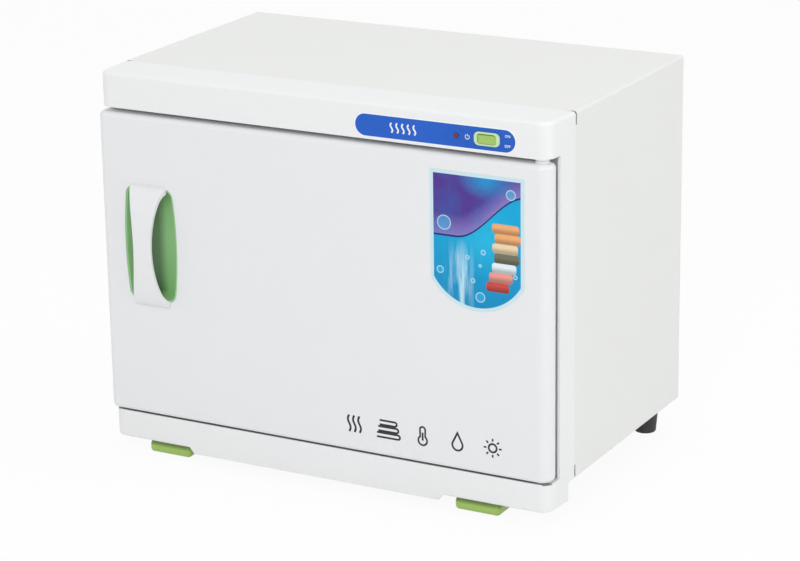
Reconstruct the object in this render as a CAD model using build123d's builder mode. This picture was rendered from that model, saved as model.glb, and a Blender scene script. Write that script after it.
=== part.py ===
# Towel sterilizer cabinet: a counter-top warming chamber behind a door hinged on the right.
# All sizes are in millimetres. Seen from the front, X runs to the right and Z up from the
# table, and the front faces -Y. The origin is on the table under the middle of the cabinet.

import math
import os

from build123d import *

os.makedirs("parts", exist_ok=True)

# Overall sizes
cabinet_width = 450.0
cabinet_depth = 280.0  # door face to the outside of the back panel
cabinet_height = 360.0
moulding_depth = 50.0  # door face to the seam with the steel shell
frame_setback = 3.0  # the header and the strip stand this far behind the door face
handle_bow = 16.0  # how far the strap stands out of the door face
rear_standoff = 6.0  # how far the cord bush stands out of the back panel

# Heights of the front, from the table up
front_foot_height = 15.0
skirt_drop = 5.0  # the middle of the bottom strip hangs this much lower
strip_height = 26.0
door_gap_below = 2.0
door_gap_above = 4.0
header_height = 31.5
shell_floor = 33.0  # underside of the steel shell

# Sheet steel
shell_wall = 1.0
fold_radius = 2.5
hem_width = 12.0
relief_length = 9.0
relief_depth = 1.2
base_wall = 1.2
panel_flange = 10.0
panel_inset = 0.5
panel_corner_radius = 4.0

# Front frame moulding
mould_wall = 2.5
plan_taper = 2.5  # each side draws in this much from the seam to the door face
frame_corner_radius = 12.0
crease_radius = 3.0
strip_edge_radius = 2.0
land_depth = 31.0  # door face to the land that the door gasket meets
rim_width = 4.0
strip_return = 11.0  # the strip's sides stop this far in front of the seam
land_side = 39.0  # cabinet side to the edge of the chamber opening
land_below = 15.0  # strip top to the opening
land_above = 15.0  # opening to the header
opening_radius = 18.0
skirt_half = 126.0
strip_shift = -10.0  # the skirt and the front feet sit this far from the middle
skirt_slant = 6.0
lip_wall = 2.0
lip_length = 8.0
sheet_clearance = 0.2

# Heated chamber
liner_wall = 1.0
liner_clearance = 0.3
liner_flange = 9.0
chamber_depth = 205.0
insulation_wall = 20.0
insulation_clearance = 0.5
rear_insulation_wall = 14.0

# Door
door_thickness = 22.0
door_side_gap = 1.0  # the door is this much narrower than the cabinet on each side
door_corner_radius = 8.0
door_edge_radius = 5.0
door_wall = 2.5
cheek_gap = 1.5
inner_panel_wall = 2.0
panel_bulge = 4.0
panel_clearance = 0.3
bulge_inset = 4.0  # chamber opening to the raised middle of the inner panel
gasket_width = 8.0
gasket_gap = 0.3
foam_margin = 16.0
foam_cup_gap = 1.5
gasket_margin = 0.5  # chamber opening to the gasket
panel_screw_margin = 28.0  # door's top and bottom to the nearest screws
panel_screw_share = 0.325  # of the door's height, up to the screws below the grip
screw_boss_radius = 4.0
screw_boss_inset = 5.5
bulge_taper = 30.0

# Handle
handle_from_edge = 52.6  # door edge to the middle of the handle
handle_share = 0.581  # of the door's height, up to the middle of the handle
grip_width = 55.0
grip_height = 109.0
grip_side_bow = 3.5  # the sides of the grip opening bulge this much
grip_end_bow = 3.0
grip_corner_radius = 9.0
strap_width = 21.0
strap_end_width = 38.0
strap_length = 118.0
strap_thickness = 4.5
strap_shoulder = 11.0  # end of the strap to where it has risen
strap_shoulder_drop = 3.0  # its shoulders are this much lower than its middle
strap_shoulder_radius = 7.0
cup_wall = 1.5
cup_depth = 16.0
cup_flange = 6.0
cup_inset = 0.5  # the cup's rim stops this far behind the door face
cup_slope = 5.0  # the cup draws in this much each way towards its floor
cup_fit = 0.15
cup_back_radius = 3.0

# Hinge
pin_radius = 2.5
pin_clearance = 0.05
press_clearance = 0.02
bush_wall = 2.0
bush_length = 16.0
hinge_flange_radius = 6.0
hinge_float = 0.3
hinge_boss_rise = 1.6  # the upper boss that holds a pin stands out this much
low_boss_rise = 0.6
pin_grip = 11.0
pin_end_gap = 1.0  # bush length to the pin's end
pin_chamfer = 0.5

# Control panel on the header
label_length = 153.5
label_height = 21.0
label_wall = 0.4
label_from_edge = 32.0  # cabinet side to the label's right end
label_below_top = 19.0  # cabinet top to the label's middle line
bezel_width = 24.0
bezel_height = 11.8
bezel_wall = 1.4
bezel_radius = 4.5
switch_from_edge = 59.0
switch_depth = 17.0
switch_body_width = 21.0
switch_body_height = 10.6
switch_body_radius = 2.0
rocker_gap = 0.5
rocker_side_gap = 0.3
rocker_pivot_depth = 1.0  # header's face to the rocker's axis
rocker_width = 17.0
rocker_height = 7.6
rocker_corner_radius = 2.2
rocker_edge_radius = 0.5
rocker_tilt = 8.0
rocker_pin_radius = 1.0
rocker_pin_length = 1.2
rocker_reach = 3.2  # rocker's axis to its raised ends
rocker_dip = 1.0
rocker_tail = 3.0  # height of the rocker's inner end
switch_tab_pitch = 8.0
switch_tab_length = 8.0
switch_tab_size = (6.3, 0.8)
switch_floor = 2.0
lamp_from_edge = 88.0
lens_radius = 2.5
lens_reach = 1.4  # how far the lens stands out of the label
lens_flange = 0.8
lens_back = 4.0

# Chamber fittings
rail_wall = 1.2
rail_ledge = 9.0
rail_top_margin = 8.0
rail_bottom_margin = 24.0
rail_front_gap = 9.0
lower_rack_height = 72.0  # chamber floor to the rack's frame wire
upper_rack_height = 154.0
rack_wire = 4.0
rack_cross_wire = 2.5
rack_cross_count = 13
rack_corner_radius = 14.0
weld_sink = 0.4  # the cross wires sink this much into the frame wire
brace_slimmer = 1.0  # the brace is this much thinner than the frame wire
rack_front_gap = 9.0  # land to the front of the racks
rack_rear_gap = 6.0
rack_side_gap = 0.8
rack_play = 0.3
tray_wall = 1.0
tray_height = 12.0
tray_side_gap = 2.0
tray_rim = 4.0
tray_corner_radius = 12.0
tray_slope = 12.0  # the tray draws in this much each way towards its floor

# Steriliser lamp
tube_radius = 7.75
tube_length = 197.0
cap_length = 6.0
cap_radius = 8.0
lamp_pin_radius = 1.2
lamp_pin_length = 7.0
lamp_pin_spacing = 5.0
lamp_below_ceiling = 17.0
lamp_from_rear = 30.0
holder_size = (9.0, 22.0, 27.0)
holder_radius = 5.0
holder_gap = 0.3
pin_slot_gap = 0.2
guard_half_width = 17.0
guard_drop = 31.0
guard_wall = 0.8
guard_foot = 8.0
guard_length = 232.0
guard_bend = 7.0
guard_slot_count = 14
guard_slot_pitch = 15.0
guard_slot_width = 9.0

# Heater and controls under and behind the chamber
heater_size = (220.0, 150.0, 4.0)
clamp_wall = 1.2
clamp_margin = 8.0
thermostat_radius = 9.5
thermostat_height = 6.0
thermostat_from_middle = 45.0
mount_ear = 7.0  # the thermostat's mounting ears stand out this much
mount_ear_width = 8.0
mount_ear_wall = 1.0
fuse_radius = 2.0
fuse_length = 14.0
fuse_lead_radius = 0.5
fuse_lead_length = 10.0
ballast_size = (86.0, 22.0, 30.0)
ballast_from_middle = 60.0
ballast_edge_radius = 2.0
ballast_ear = 12.0
ballast_ear_size = (20.0, 1.5)
terminal_size = (46.0, 18.0, 9.0)
terminal_ways = 4
terminal_tower = 6.0
terminal_barrier = 2.0
terminal_step = 3.0
terminal_screw_radius = 2.2
terminal_screw_depth = 4.0
terminal_from_bush = 45.0
terminal_from_back = 14.0
bush_from_edge = 48.0
bush_height = 68.0
cord_hole_radius = 7.0
cord_bush_wall = 3.0
cord_bush_reach = 8.0  # how far it goes in past the back panel's outer face

# Feet
front_foot_size = (44.0, 28.0)
foot_from_middle = 159.0
foot_setback = 12.0
foot_edge_radius = 4.0
foot_bevel_start = 8.0  # above this height the front feet draw in towards the strip
foot_bevel = 2.5
foot_spigot_radius = 5.0
foot_spigot_length = 6.5
rear_foot_from_middle = 198.0
rear_foot_from_back = 15.0
rear_foot_top_radius = 13.0
rear_foot_bottom_radius = 10.0
rear_foot_edge_radius = 1.5
screw_recess_gap = 1.0
screw_recess_depth = 16.0
foot_screw_reach = 3.0  # how far its screw stands through the base plate

# Screws
screw_radius = 1.75
screw_head_radius = 3.5
screw_head_height = 1.8
screw_head_chamfer = 0.6
screw_length = 8.0
recess_length = 4.2  # cross recess in the head
recess_width = 0.9
recess_depth = 1.0
screw_row_margin = 38.0  # end of the back panel to its last screw

# Catch and interlock
catch_size = (8.0, 40.0)
catch_from_side = 20.5  # cabinet side to the middle of the catch and of the plunger
catch_slot = (5.0, 1.2)
strike_margin = 1.0
catch_air_gap = 0.3
strike_wall = 1.2
plunger_radius = 2.0
plunger_travel = 2.5
plunger_collar = 1.0  # the collar that keeps it in stands out this much
plunger_collar_length = 2.0
plunger_clearance = 0.05
interlock_size = (12.0, 16.0, 22.0)
plunger_hold = 10.0  # how far it reaches into the switch
plunger_below_top = 50.0  # opening top to the plunger
plunger_tip_radius = 1.5
small_tab_size = (4.8, 0.8)
small_tab_length = 5.0
small_tab_pitch = 7.0

# Stickers
sticker_width = 88.5
sticker_height = 121.0
sticker_arc = 25.4
sticker_from_edge = 22.5
sticker_below_top = 13.5
sticker_wall = 0.3

# Positions worked out from the sizes above
half_width = cabinet_width / 2
door_face_y = (handle_bow - cabinet_depth - rear_standoff) / 2
frame_face_y = door_face_y + frame_setback
seam_y = door_face_y + moulding_depth
back_y = door_face_y + cabinet_depth
back_panel_y = back_y - shell_wall
land_y = door_face_y + land_depth
door_back_y = door_face_y + door_thickness
cheek_y = door_back_y + cheek_gap

strip_top = front_foot_height + strip_height
door_bottom = strip_top + door_gap_below
header_bottom = cabinet_height - header_height
door_top = header_bottom - door_gap_above
door_height = door_top - door_bottom
door_half = half_width - door_side_gap

base_bottom = shell_floor + shell_wall
base_top = base_bottom + base_wall

opening_half = half_width - land_side
opening_bottom = strip_top + land_below
opening_top = header_bottom - land_above
opening_middle = (opening_bottom + opening_top) / 2
opening_height = opening_top - opening_bottom

liner_half = opening_half - liner_clearance
liner_bottom = opening_bottom + liner_clearance
liner_top = opening_top - liner_clearance
chamber_half = liner_half - liner_wall
chamber_floor = liner_bottom + liner_wall
chamber_ceiling = liner_top - liner_wall
liner_back_y = land_y + chamber_depth
chamber_back_y = liner_back_y - liner_wall

hinge_radius = door_thickness / 2
hinge_x = door_half - hinge_radius
hinge_y = door_face_y + hinge_radius

handle_x = -door_half + handle_from_edge
handle_z = door_bottom + handle_share * door_height

# Middle of the strip of land between the gasket and the rim, for the catch and the interlock
side_land_x = half_width - catch_from_side
plunger_z = opening_top - plunger_below_top

front_foot_y = door_face_y + foot_setback + front_foot_size[1] / 2
front_foot_xs = (strip_shift - foot_from_middle, strip_shift + foot_from_middle)

# Screws of the back panel, along the middle of the shell's rear flange
screw_row_inset = panel_flange / 2 + 0.5
screw_row_heights = (
    shell_floor + screw_row_margin,
    (shell_floor + cabinet_height) / 2,
    cabinet_height - screw_row_margin,
)
back_screw_points = [
    (side * (half_width - screw_row_inset), z) for side in (-1, 1) for z in screw_row_heights
] + [(side * half_width / 2, cabinet_height - screw_row_inset) for side in (-1, 1)]


def facing_front(y):
    """A sketch plane at depth y: X to the right, Y up, its normal towards the front."""
    return Plane.XZ.offset(-y)


def block(x, y, z, mode=Mode.ADD):
    """A box between two limits along each axis."""
    with Locations(((x[0] + x[1]) / 2, (y[0] + y[1]) / 2, (z[0] + z[1]) / 2)):
        Box(x[1] - x[0], y[1] - y[0], z[1] - z[0], mode=mode)


def grip_outline(grow):
    """The grip opening's outline, grown by this much: bulging sides and rounded corners."""
    side_x = grip_width / 2 + grow
    side_z = grip_height / 2 + grow
    with BuildSketch(Plane.XY, mode=Mode.PRIVATE) as outline:
        with BuildLine():
            for turn in (1, -1):
                corner_x = turn * (side_x - grip_side_bow)
                corner_z = turn * (side_z - grip_end_bow)
                ThreePointArc(
                    (handle_x + corner_x, handle_z - corner_z),
                    (handle_x + turn * side_x, handle_z),
                    (handle_x + corner_x, handle_z + corner_z),
                )
                ThreePointArc(
                    (handle_x + corner_x, handle_z + corner_z),
                    (handle_x, handle_z + turn * side_z),
                    (handle_x - corner_x, handle_z + corner_z),
                )
        make_face()
        fillet(vertices(), radius=grip_corner_radius + grow)
    return outline.sketch


# Steel shell: one folded sheet for the top and both sides, hemmed below and flanged at the back
with BuildPart() as outer_shell:
    with BuildSketch(facing_front(seam_y)):
        with Locations((0, (shell_floor + cabinet_height) / 2)):
            Rectangle(cabinet_width, cabinet_height - shell_floor)
        fillet(vertices().group_by(Axis.Y)[-1], radius=fold_radius)
        offset(amount=-shell_wall, mode=Mode.SUBTRACT)
    extrude(amount=seam_y - back_panel_y)
    with BuildSketch(facing_front(back_panel_y)):
        with Locations((0, (shell_floor + cabinet_height) / 2)):
            Rectangle(cabinet_width, cabinet_height - shell_floor)
        fillet(vertices().group_by(Axis.Y)[-1], radius=fold_radius)
        offset(amount=-panel_flange, kind=Kind.INTERSECTION, mode=Mode.SUBTRACT)
    extrude(amount=shell_wall)
    hem_x = half_width - hem_width
    block(
        (-hem_x, hem_x),
        (seam_y, back_panel_y),
        (shell_floor, shell_floor + panel_flange),
        Mode.SUBTRACT,
    )
    # Corner reliefs where the front edge is folded
    for side in (-1, 1):
        outer = side * half_width
        inner = side * (half_width - relief_length)
        x_limits = (min(outer, inner), max(outer, inner))
        for z_limits in (
            (cabinet_height - relief_length, cabinet_height),
            (shell_floor, shell_floor + relief_length),
        ):
            block(x_limits, (seam_y, seam_y + relief_depth), z_limits, Mode.SUBTRACT)
    with BuildSketch(facing_front(back_panel_y)):
        with Locations(*back_screw_points):
            Circle(screw_radius + pin_clearance)
    extrude(amount=shell_wall, mode=Mode.SUBTRACT)
outer_shell.part.label = "outer_shell"
export_step(outer_shell.part, "parts/outer_shell.step")


# Base plate on the shell's hems, with cooling slots and a turned-up rear edge
base_half = half_width - shell_wall - sheet_clearance
base_flange_half = half_width - hem_width - shell_wall - sheet_clearance
base_front_y = seam_y + sheet_clearance
base_slot_count = 9
base_slot_pitch = 14.0
base_slot_size = (60.0, 5.0)
with BuildPart() as base_plate:
    block(
        (-base_half, base_half),
        (base_front_y, back_panel_y - shell_wall - sheet_clearance),
        (base_bottom, base_top),
    )
    block(
        (-base_flange_half, base_flange_half),
        (back_panel_y - 2 * shell_wall, back_panel_y),
        (base_bottom, base_top),
    )
    block(
        (-base_flange_half, base_flange_half),
        (back_panel_y - base_wall, back_panel_y),
        (base_bottom, base_bottom + panel_flange),
    )
    with BuildSketch(Plane.XY.offset(base_bottom)):
        with GridLocations(2 * base_slot_size[0], base_slot_pitch, 2, base_slot_count):
            SlotOverall(*base_slot_size)
    extrude(amount=base_wall, mode=Mode.SUBTRACT)
    with BuildSketch(Plane.XY.offset(base_bottom)):
        with Locations(
            (-rear_foot_from_middle, back_y - rear_foot_from_back),
            (rear_foot_from_middle, back_y - rear_foot_from_back),
        ):
            Circle(screw_radius + pin_clearance)
    extrude(amount=base_wall, mode=Mode.SUBTRACT)
base_plate.part.label = "base_plate"
export_step(base_plate.part, "parts/base_plate.step")


# Back panel: a flat sheet screwed over the shell's rear flange
panel_half = half_width - panel_inset
panel_bottom = shell_floor + panel_inset
panel_top = cabinet_height - panel_inset
vent_columns = 12
vent_rows = 2
vent_size = (5.0, 34.0)
vent_pitch = (12.0, 44.0)
vent_height = cabinet_height - 72.0
cord_bush_x = half_width - bush_from_edge
with BuildPart() as back_panel:
    with BuildSketch(facing_front(back_y)):
        with Locations((0, (panel_bottom + panel_top) / 2)):
            RectangleRounded(2 * panel_half, panel_top - panel_bottom, panel_corner_radius)
        with Locations((0, vent_height)):
            with GridLocations(*vent_pitch, vent_columns, vent_rows):
                SlotOverall(vent_size[1], vent_size[0], rotation=90, mode=Mode.SUBTRACT)
        with Locations((cord_bush_x, bush_height)):
            Circle(cord_hole_radius, mode=Mode.SUBTRACT)
        with Locations(*back_screw_points):
            Circle(screw_radius + pin_clearance, mode=Mode.SUBTRACT)
    extrude(amount=shell_wall)
back_panel.part.label = "back_panel"
export_step(back_panel.part, "parts/back_panel.step")


# Front frame: one white moulding with the header, the cheeks beside the chamber and the strip
frame_bottom_y = seam_y - strip_return
switch_x = half_width - switch_from_edge
lamp_x = half_width - lamp_from_edge
label_z = cabinet_height - label_below_top
label_x = half_width - label_from_edge - label_length / 2
with BuildPart() as front_frame:
    # Side outline: the door pocket between the header and the strip
    with BuildSketch(Plane.YZ.offset(-half_width)):
        with BuildLine():
            Polyline(
                (frame_face_y, cabinet_height),
                (seam_y, cabinet_height),
                (seam_y, shell_floor),
                (frame_bottom_y, shell_floor),
                (frame_bottom_y, front_foot_height),
                (frame_face_y, front_foot_height),
                (frame_face_y, strip_top),
                (cheek_y, strip_top),
                (cheek_y, header_bottom),
                (frame_face_y, header_bottom),
                close=True,
            )
        make_face()
    extrude(amount=cabinet_width)
    # Plan outline: both sides draw in a little towards the front and turn round the corners
    with BuildSketch(Plane.XY):
        with BuildLine():
            Polyline(
                (-half_width, seam_y),
                (-half_width + plan_taper, frame_face_y),
                (half_width - plan_taper, frame_face_y),
                (half_width, seam_y),
                close=True,
            )
        make_face()
        fillet(vertices().group_by(Axis.Y)[0], radius=frame_corner_radius)
    extrude(amount=cabinet_height, mode=Mode.INTERSECT)
    fillet(faces().sort_by(Axis.Z)[-1].edges().sort_by(Axis.Y)[:-1], radius=crease_radius)
    fillet(faces().sort_by(Axis.Z)[0].edges().sort_by(Axis.Y)[:-1], radius=strip_edge_radius)
    # Land that the gasket meets, sunk behind the cheeks' rims
    land_half = half_width - rim_width
    block((-land_half, land_half), (cheek_y, land_y), (strip_top, header_bottom), Mode.SUBTRACT)
    # Hollows behind the header, the land and the strip
    inside_half = half_width - plan_taper - mould_wall
    for rear_y, low, high in (
        (seam_y, header_bottom + mould_wall, cabinet_height - mould_wall),
        (frame_bottom_y - mould_wall, front_foot_height + mould_wall, strip_top - mould_wall),
    ):
        with BuildSketch(Plane.XY.offset(low)):
            with Locations((0, (frame_face_y + mould_wall + rear_y) / 2)):
                Rectangle(2 * inside_half, rear_y - frame_face_y - mould_wall)
            fillet(vertices().group_by(Axis.Y)[0], radius=frame_corner_radius - mould_wall)
        extrude(amount=high - low, mode=Mode.SUBTRACT)
    block(
        (-land_half, land_half),
        (land_y + mould_wall, seam_y),
        (strip_top - mould_wall, header_bottom + mould_wall),
        Mode.SUBTRACT,
    )
    # Lowered skirt with slanted ends under the middle of the strip
    skirt_left = strip_shift - skirt_half
    skirt_right = strip_shift + skirt_half
    skirt_top = front_foot_height + strip_edge_radius
    with BuildSketch(facing_front(frame_face_y)):
        with BuildLine():
            Polyline(
                (skirt_left - skirt_slant, skirt_top),
                (skirt_left, front_foot_height - skirt_drop),
                (skirt_right, front_foot_height - skirt_drop),
                (skirt_right + skirt_slant, skirt_top),
                close=True,
            )
        make_face()
    extrude(amount=-mould_wall)
    # Lip that slips inside the steel shell
    lip_half = half_width - shell_wall - sheet_clearance
    lip_top = cabinet_height - shell_wall - sheet_clearance
    lip_bottom = base_top + sheet_clearance
    with BuildSketch(facing_front(seam_y + lip_length)):
        with Locations((0, (lip_top + lip_bottom) / 2)):
            Rectangle(2 * lip_half, lip_top - lip_bottom)
        fillet(vertices().group_by(Axis.Y)[-1], radius=fold_radius)
        offset(amount=-lip_wall, kind=Kind.INTERSECTION, mode=Mode.SUBTRACT)
    extrude(amount=lip_length + mould_wall)
    # Bosses that hold the hinge pins
    with Locations((hinge_x, hinge_y, header_bottom - hinge_boss_rise)):
        Cylinder(
            hinge_flange_radius,
            hinge_boss_rise + mould_wall + pin_grip,
            align=(Align.CENTER, Align.CENTER, Align.MIN),
        )
        Cylinder(
            pin_radius + press_clearance,
            hinge_boss_rise + mould_wall + pin_grip,
            align=(Align.CENTER, Align.CENTER, Align.MIN),
            mode=Mode.SUBTRACT,
        )
    with Locations((hinge_x, hinge_y, strip_top + low_boss_rise)):
        Cylinder(
            hinge_flange_radius,
            low_boss_rise + mould_wall + pin_grip,
            align=(Align.CENTER, Align.CENTER, Align.MAX),
        )
        Cylinder(
            pin_radius + press_clearance,
            low_boss_rise + mould_wall + pin_grip,
            align=(Align.CENTER, Align.CENTER, Align.MAX),
            mode=Mode.SUBTRACT,
        )
    # Openings for the chamber, the switch, the lamp and the interlock plunger
    with BuildSketch(facing_front(land_y)):
        with Locations((0, opening_middle)):
            RectangleRounded(2 * opening_half, opening_height, opening_radius)
        with Locations((side_land_x, plunger_z)):
            Circle(plunger_radius + plunger_clearance)
    extrude(amount=-mould_wall, mode=Mode.SUBTRACT)
    with BuildSketch(facing_front(frame_face_y)):
        with Locations((switch_x, label_z)):
            RectangleRounded(switch_body_width, switch_body_height, switch_body_radius)
        with Locations((lamp_x, label_z)):
            Circle(lens_radius)
    extrude(amount=-mould_wall, mode=Mode.SUBTRACT)
    # Holes for the front feet's spigots
    with BuildSketch(Plane.XY.offset(front_foot_height)):
        with Locations(*[(x, front_foot_y) for x in front_foot_xs]):
            Circle(foot_spigot_radius + pin_clearance)
    extrude(amount=mould_wall, mode=Mode.SUBTRACT)
front_frame.part.label = "front_frame"
export_step(front_frame.part, "parts/front_frame.step")


# Chamber liner: a drawn aluminium box whose mouth is flanged over the land
liner_height = liner_top - liner_bottom
with BuildPart() as inner_liner:
    with BuildSketch(facing_front(land_y)):
        with Locations((0, opening_middle)):
            RectangleRounded(2 * liner_half, liner_height, opening_radius - liner_clearance)
    extrude(amount=-chamber_depth)
    with BuildSketch(facing_front(land_y)):
        with Locations((0, opening_middle)):
            RectangleRounded(
                2 * (opening_half + liner_flange),
                opening_height + 2 * liner_flange,
                opening_radius + liner_flange,
            )
    extrude(amount=liner_wall)
    with BuildSketch(facing_front(land_y - liner_wall)):
        with Locations((0, opening_middle)):
            RectangleRounded(
                2 * chamber_half,
                liner_height - 2 * liner_wall,
                opening_radius - liner_clearance - liner_wall,
            )
    extrude(amount=-chamber_depth, mode=Mode.SUBTRACT)
inner_liner.part.label = "inner_liner"
export_step(inner_liner.part, "parts/inner_liner.step")


# Glass-wool jacket over the chamber's top and sides, and the slab behind it
wrap_inner_half = liner_half + insulation_clearance
wrap_inner_top = liner_top + insulation_clearance
wrap_front_y = seam_y + lip_length + insulation_clearance
with BuildPart() as insulation_wrap:
    with BuildSketch(facing_front(liner_back_y)):
        with BuildLine():
            Polyline(
                (-wrap_inner_half - insulation_wall, liner_bottom),
                (-wrap_inner_half - insulation_wall, wrap_inner_top + insulation_wall),
                (wrap_inner_half + insulation_wall, wrap_inner_top + insulation_wall),
                (wrap_inner_half + insulation_wall, liner_bottom),
                (wrap_inner_half, liner_bottom),
                (wrap_inner_half, wrap_inner_top),
                (-wrap_inner_half, wrap_inner_top),
                (-wrap_inner_half, liner_bottom),
                close=True,
            )
        make_face()
        fillet(vertices().group_by(Axis.Y)[-1], radius=insulation_wall)
    extrude(amount=liner_back_y - wrap_front_y)
insulation_wrap.part.label = "insulation_wrap"
export_step(insulation_wrap.part, "parts/insulation_wrap.step")

rear_insulation_y = liner_back_y + insulation_clearance
with BuildPart() as rear_insulation:
    with BuildSketch(facing_front(rear_insulation_y)):
        with Locations((0, opening_middle)):
            RectangleRounded(2 * liner_half, liner_height, opening_radius)
    extrude(amount=-rear_insulation_wall)
rear_insulation.part.label = "rear_insulation"
export_step(rear_insulation.part, "parts/rear_insulation.step")


# Mica heater under the chamber floor, held up by a folded clamp plate
heater_bottom = liner_bottom - heater_size[2]
heater_y = (land_y + liner_back_y) / 2
clamp_bottom = heater_bottom - clamp_wall
with BuildPart() as heater_plate:
    with BuildSketch(Plane.XY.offset(heater_bottom)):
        with Locations((0, heater_y)):
            RectangleRounded(heater_size[0], heater_size[1], 5)
    extrude(amount=heater_size[2])
heater_plate.part.label = "heater_plate"
export_step(heater_plate.part, "parts/heater_plate.step")

clamp_half_x = heater_size[0] / 2 + sheet_clearance
clamp_half_y = heater_size[1] / 2 - clamp_margin
with BuildPart() as heater_clamp:
    with BuildSketch(facing_front(heater_y - clamp_half_y)):
        with BuildLine():
            Polyline(
                (-clamp_half_x - clamp_wall - clamp_margin, liner_bottom),
                (-clamp_half_x, liner_bottom),
                (-clamp_half_x, heater_bottom),
                (clamp_half_x, heater_bottom),
                (clamp_half_x, liner_bottom),
                (clamp_half_x + clamp_wall + clamp_margin, liner_bottom),
                (clamp_half_x + clamp_wall + clamp_margin, liner_bottom - clamp_wall),
                (clamp_half_x + clamp_wall, liner_bottom - clamp_wall),
                (clamp_half_x + clamp_wall, clamp_bottom),
                (-clamp_half_x - clamp_wall, clamp_bottom),
                (-clamp_half_x - clamp_wall, liner_bottom - clamp_wall),
                (-clamp_half_x - clamp_wall - clamp_margin, liner_bottom - clamp_wall),
                close=True,
            )
        make_face()
    extrude(amount=-2 * clamp_half_y)
heater_clamp.part.label = "heater_clamp"
export_step(heater_clamp.part, "parts/heater_clamp.step")


# Disc thermostat and thermal fuse on the clamp plate
thermostat_x = -thermostat_from_middle
fuse_x = thermostat_from_middle
with BuildPart() as thermostat:
    with BuildSketch(Plane.XY.offset(clamp_bottom)):
        with Locations((thermostat_x, heater_y)):
            Circle(thermostat_radius)
            SlotOverall(2 * (thermostat_radius + mount_ear), mount_ear_width)
    extrude(amount=-mount_ear_wall)
    with BuildSketch(Plane.XY.offset(clamp_bottom)):
        with Locations((thermostat_x, heater_y)):
            Circle(thermostat_radius - mount_ear_wall)
    extrude(amount=-thermostat_height)
    with BuildSketch(Plane.XY.offset(clamp_bottom - thermostat_height)):
        with Locations((thermostat_x, heater_y)):
            with GridLocations(thermostat_radius, 0, 2, 1):
                Rectangle(small_tab_size[1], small_tab_size[0])
    extrude(amount=-small_tab_length)
thermostat.part.label = "thermostat"
export_step(thermostat.part, "parts/thermostat.step")

with BuildPart() as thermal_fuse:
    with BuildSketch(facing_front(heater_y - fuse_length / 2)):
        with Locations((fuse_x, clamp_bottom - fuse_radius)):
            Circle(fuse_radius)
    extrude(amount=-fuse_length)
    with BuildSketch(facing_front(heater_y - fuse_length / 2 - fuse_lead_length)):
        with Locations((fuse_x, clamp_bottom - fuse_radius)):
            Circle(fuse_lead_radius)
    extrude(amount=-fuse_length - 2 * fuse_lead_length)
thermal_fuse.part.label = "thermal_fuse"
export_step(thermal_fuse.part, "parts/thermal_fuse.step")


# Ballast on the back panel and terminal block on the base plate
ballast_x = -ballast_from_middle
ballast_z = opening_middle
with BuildPart() as lamp_ballast:
    block(
        (ballast_x - ballast_size[0] / 2, ballast_x + ballast_size[0] / 2),
        (back_panel_y - ballast_size[1], back_panel_y),
        (ballast_z - ballast_size[2] / 2, ballast_z + ballast_size[2] / 2),
    )
    fillet(edges().filter_by(Axis.X), radius=ballast_edge_radius)
    block(
        (
            ballast_x - ballast_size[0] / 2 - ballast_ear,
            ballast_x + ballast_size[0] / 2 + ballast_ear,
        ),
        (back_panel_y - ballast_ear_size[1], back_panel_y),
        (ballast_z - ballast_ear_size[0] / 2, ballast_z + ballast_ear_size[0] / 2),
    )
lamp_ballast.part.label = "lamp_ballast"
export_step(lamp_ballast.part, "parts/lamp_ballast.step")

terminal_y = back_panel_y - terminal_from_back
terminal_x = cord_bush_x - terminal_from_bush
terminal_pitch = terminal_size[0] / terminal_ways
with BuildPart() as terminal_block:
    with BuildSketch(Plane.XY.offset(base_top)):
        with Locations((terminal_x, terminal_y)):
            Rectangle(terminal_size[0], terminal_size[1])
    extrude(amount=terminal_size[2])
    with BuildSketch(Plane.XY.offset(base_top + terminal_size[2])):
        with Locations((terminal_x, terminal_y)):
            with GridLocations(terminal_pitch, 0, terminal_ways, 1):
                Rectangle(terminal_pitch - terminal_barrier, terminal_size[1] - 2 * terminal_step)
    extrude(amount=terminal_tower)
    with BuildSketch(Plane.XY.offset(base_top + terminal_size[2] + terminal_tower)):
        with Locations((terminal_x, terminal_y)):
            with GridLocations(terminal_pitch, 0, terminal_ways, 1):
                Circle(terminal_screw_radius)
    extrude(amount=-terminal_screw_depth, mode=Mode.SUBTRACT)
terminal_block.part.label = "terminal_block"
export_step(terminal_block.part, "parts/terminal_block.step")


# Nylon bush in the back panel where the supply cord would enter
with BuildPart() as cord_bush:
    with BuildSketch(facing_front(back_y)):
        with Locations((cord_bush_x, bush_height)):
            Circle(cord_hole_radius + cord_bush_wall)
    extrude(amount=-rear_standoff)
    fillet(faces().sort_by(Axis.Y)[-1].edges(), radius=cord_bush_wall - 1)
    with BuildSketch(facing_front(back_y)):
        with Locations((cord_bush_x, bush_height)):
            Circle(cord_hole_radius - pin_clearance)
    extrude(amount=cord_bush_reach)
    with BuildSketch(facing_front(back_y + rear_standoff)):
        with Locations((cord_bush_x, bush_height)):
            Circle(cord_hole_radius - cord_bush_wall)
    extrude(amount=rear_standoff + cord_bush_reach, mode=Mode.SUBTRACT)
cord_bush.part.label = "cord_bush"
export_step(cord_bush.part, "parts/cord_bush.step")


# Screws of the back panel, one node for the whole set
with BuildPart() as back_screws:
    with BuildSketch(facing_front(back_y)):
        with Locations(*back_screw_points):
            Circle(screw_head_radius)
    extrude(amount=-screw_head_height)
    chamfer(faces().group_by(Axis.Y)[-1].edges(), length=screw_head_chamfer)
    with BuildSketch(facing_front(back_y)):
        with Locations(*back_screw_points):
            Circle(screw_radius)
    extrude(amount=screw_length)
    with BuildSketch(facing_front(back_y + screw_head_height)):
        with Locations(*back_screw_points):
            Rectangle(recess_length, recess_width)
            Rectangle(recess_width, recess_length)
    extrude(amount=recess_depth, mode=Mode.SUBTRACT)
back_screws.part.label = "back_screws"
export_step(back_screws.part, "parts/back_screws.step")


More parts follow.
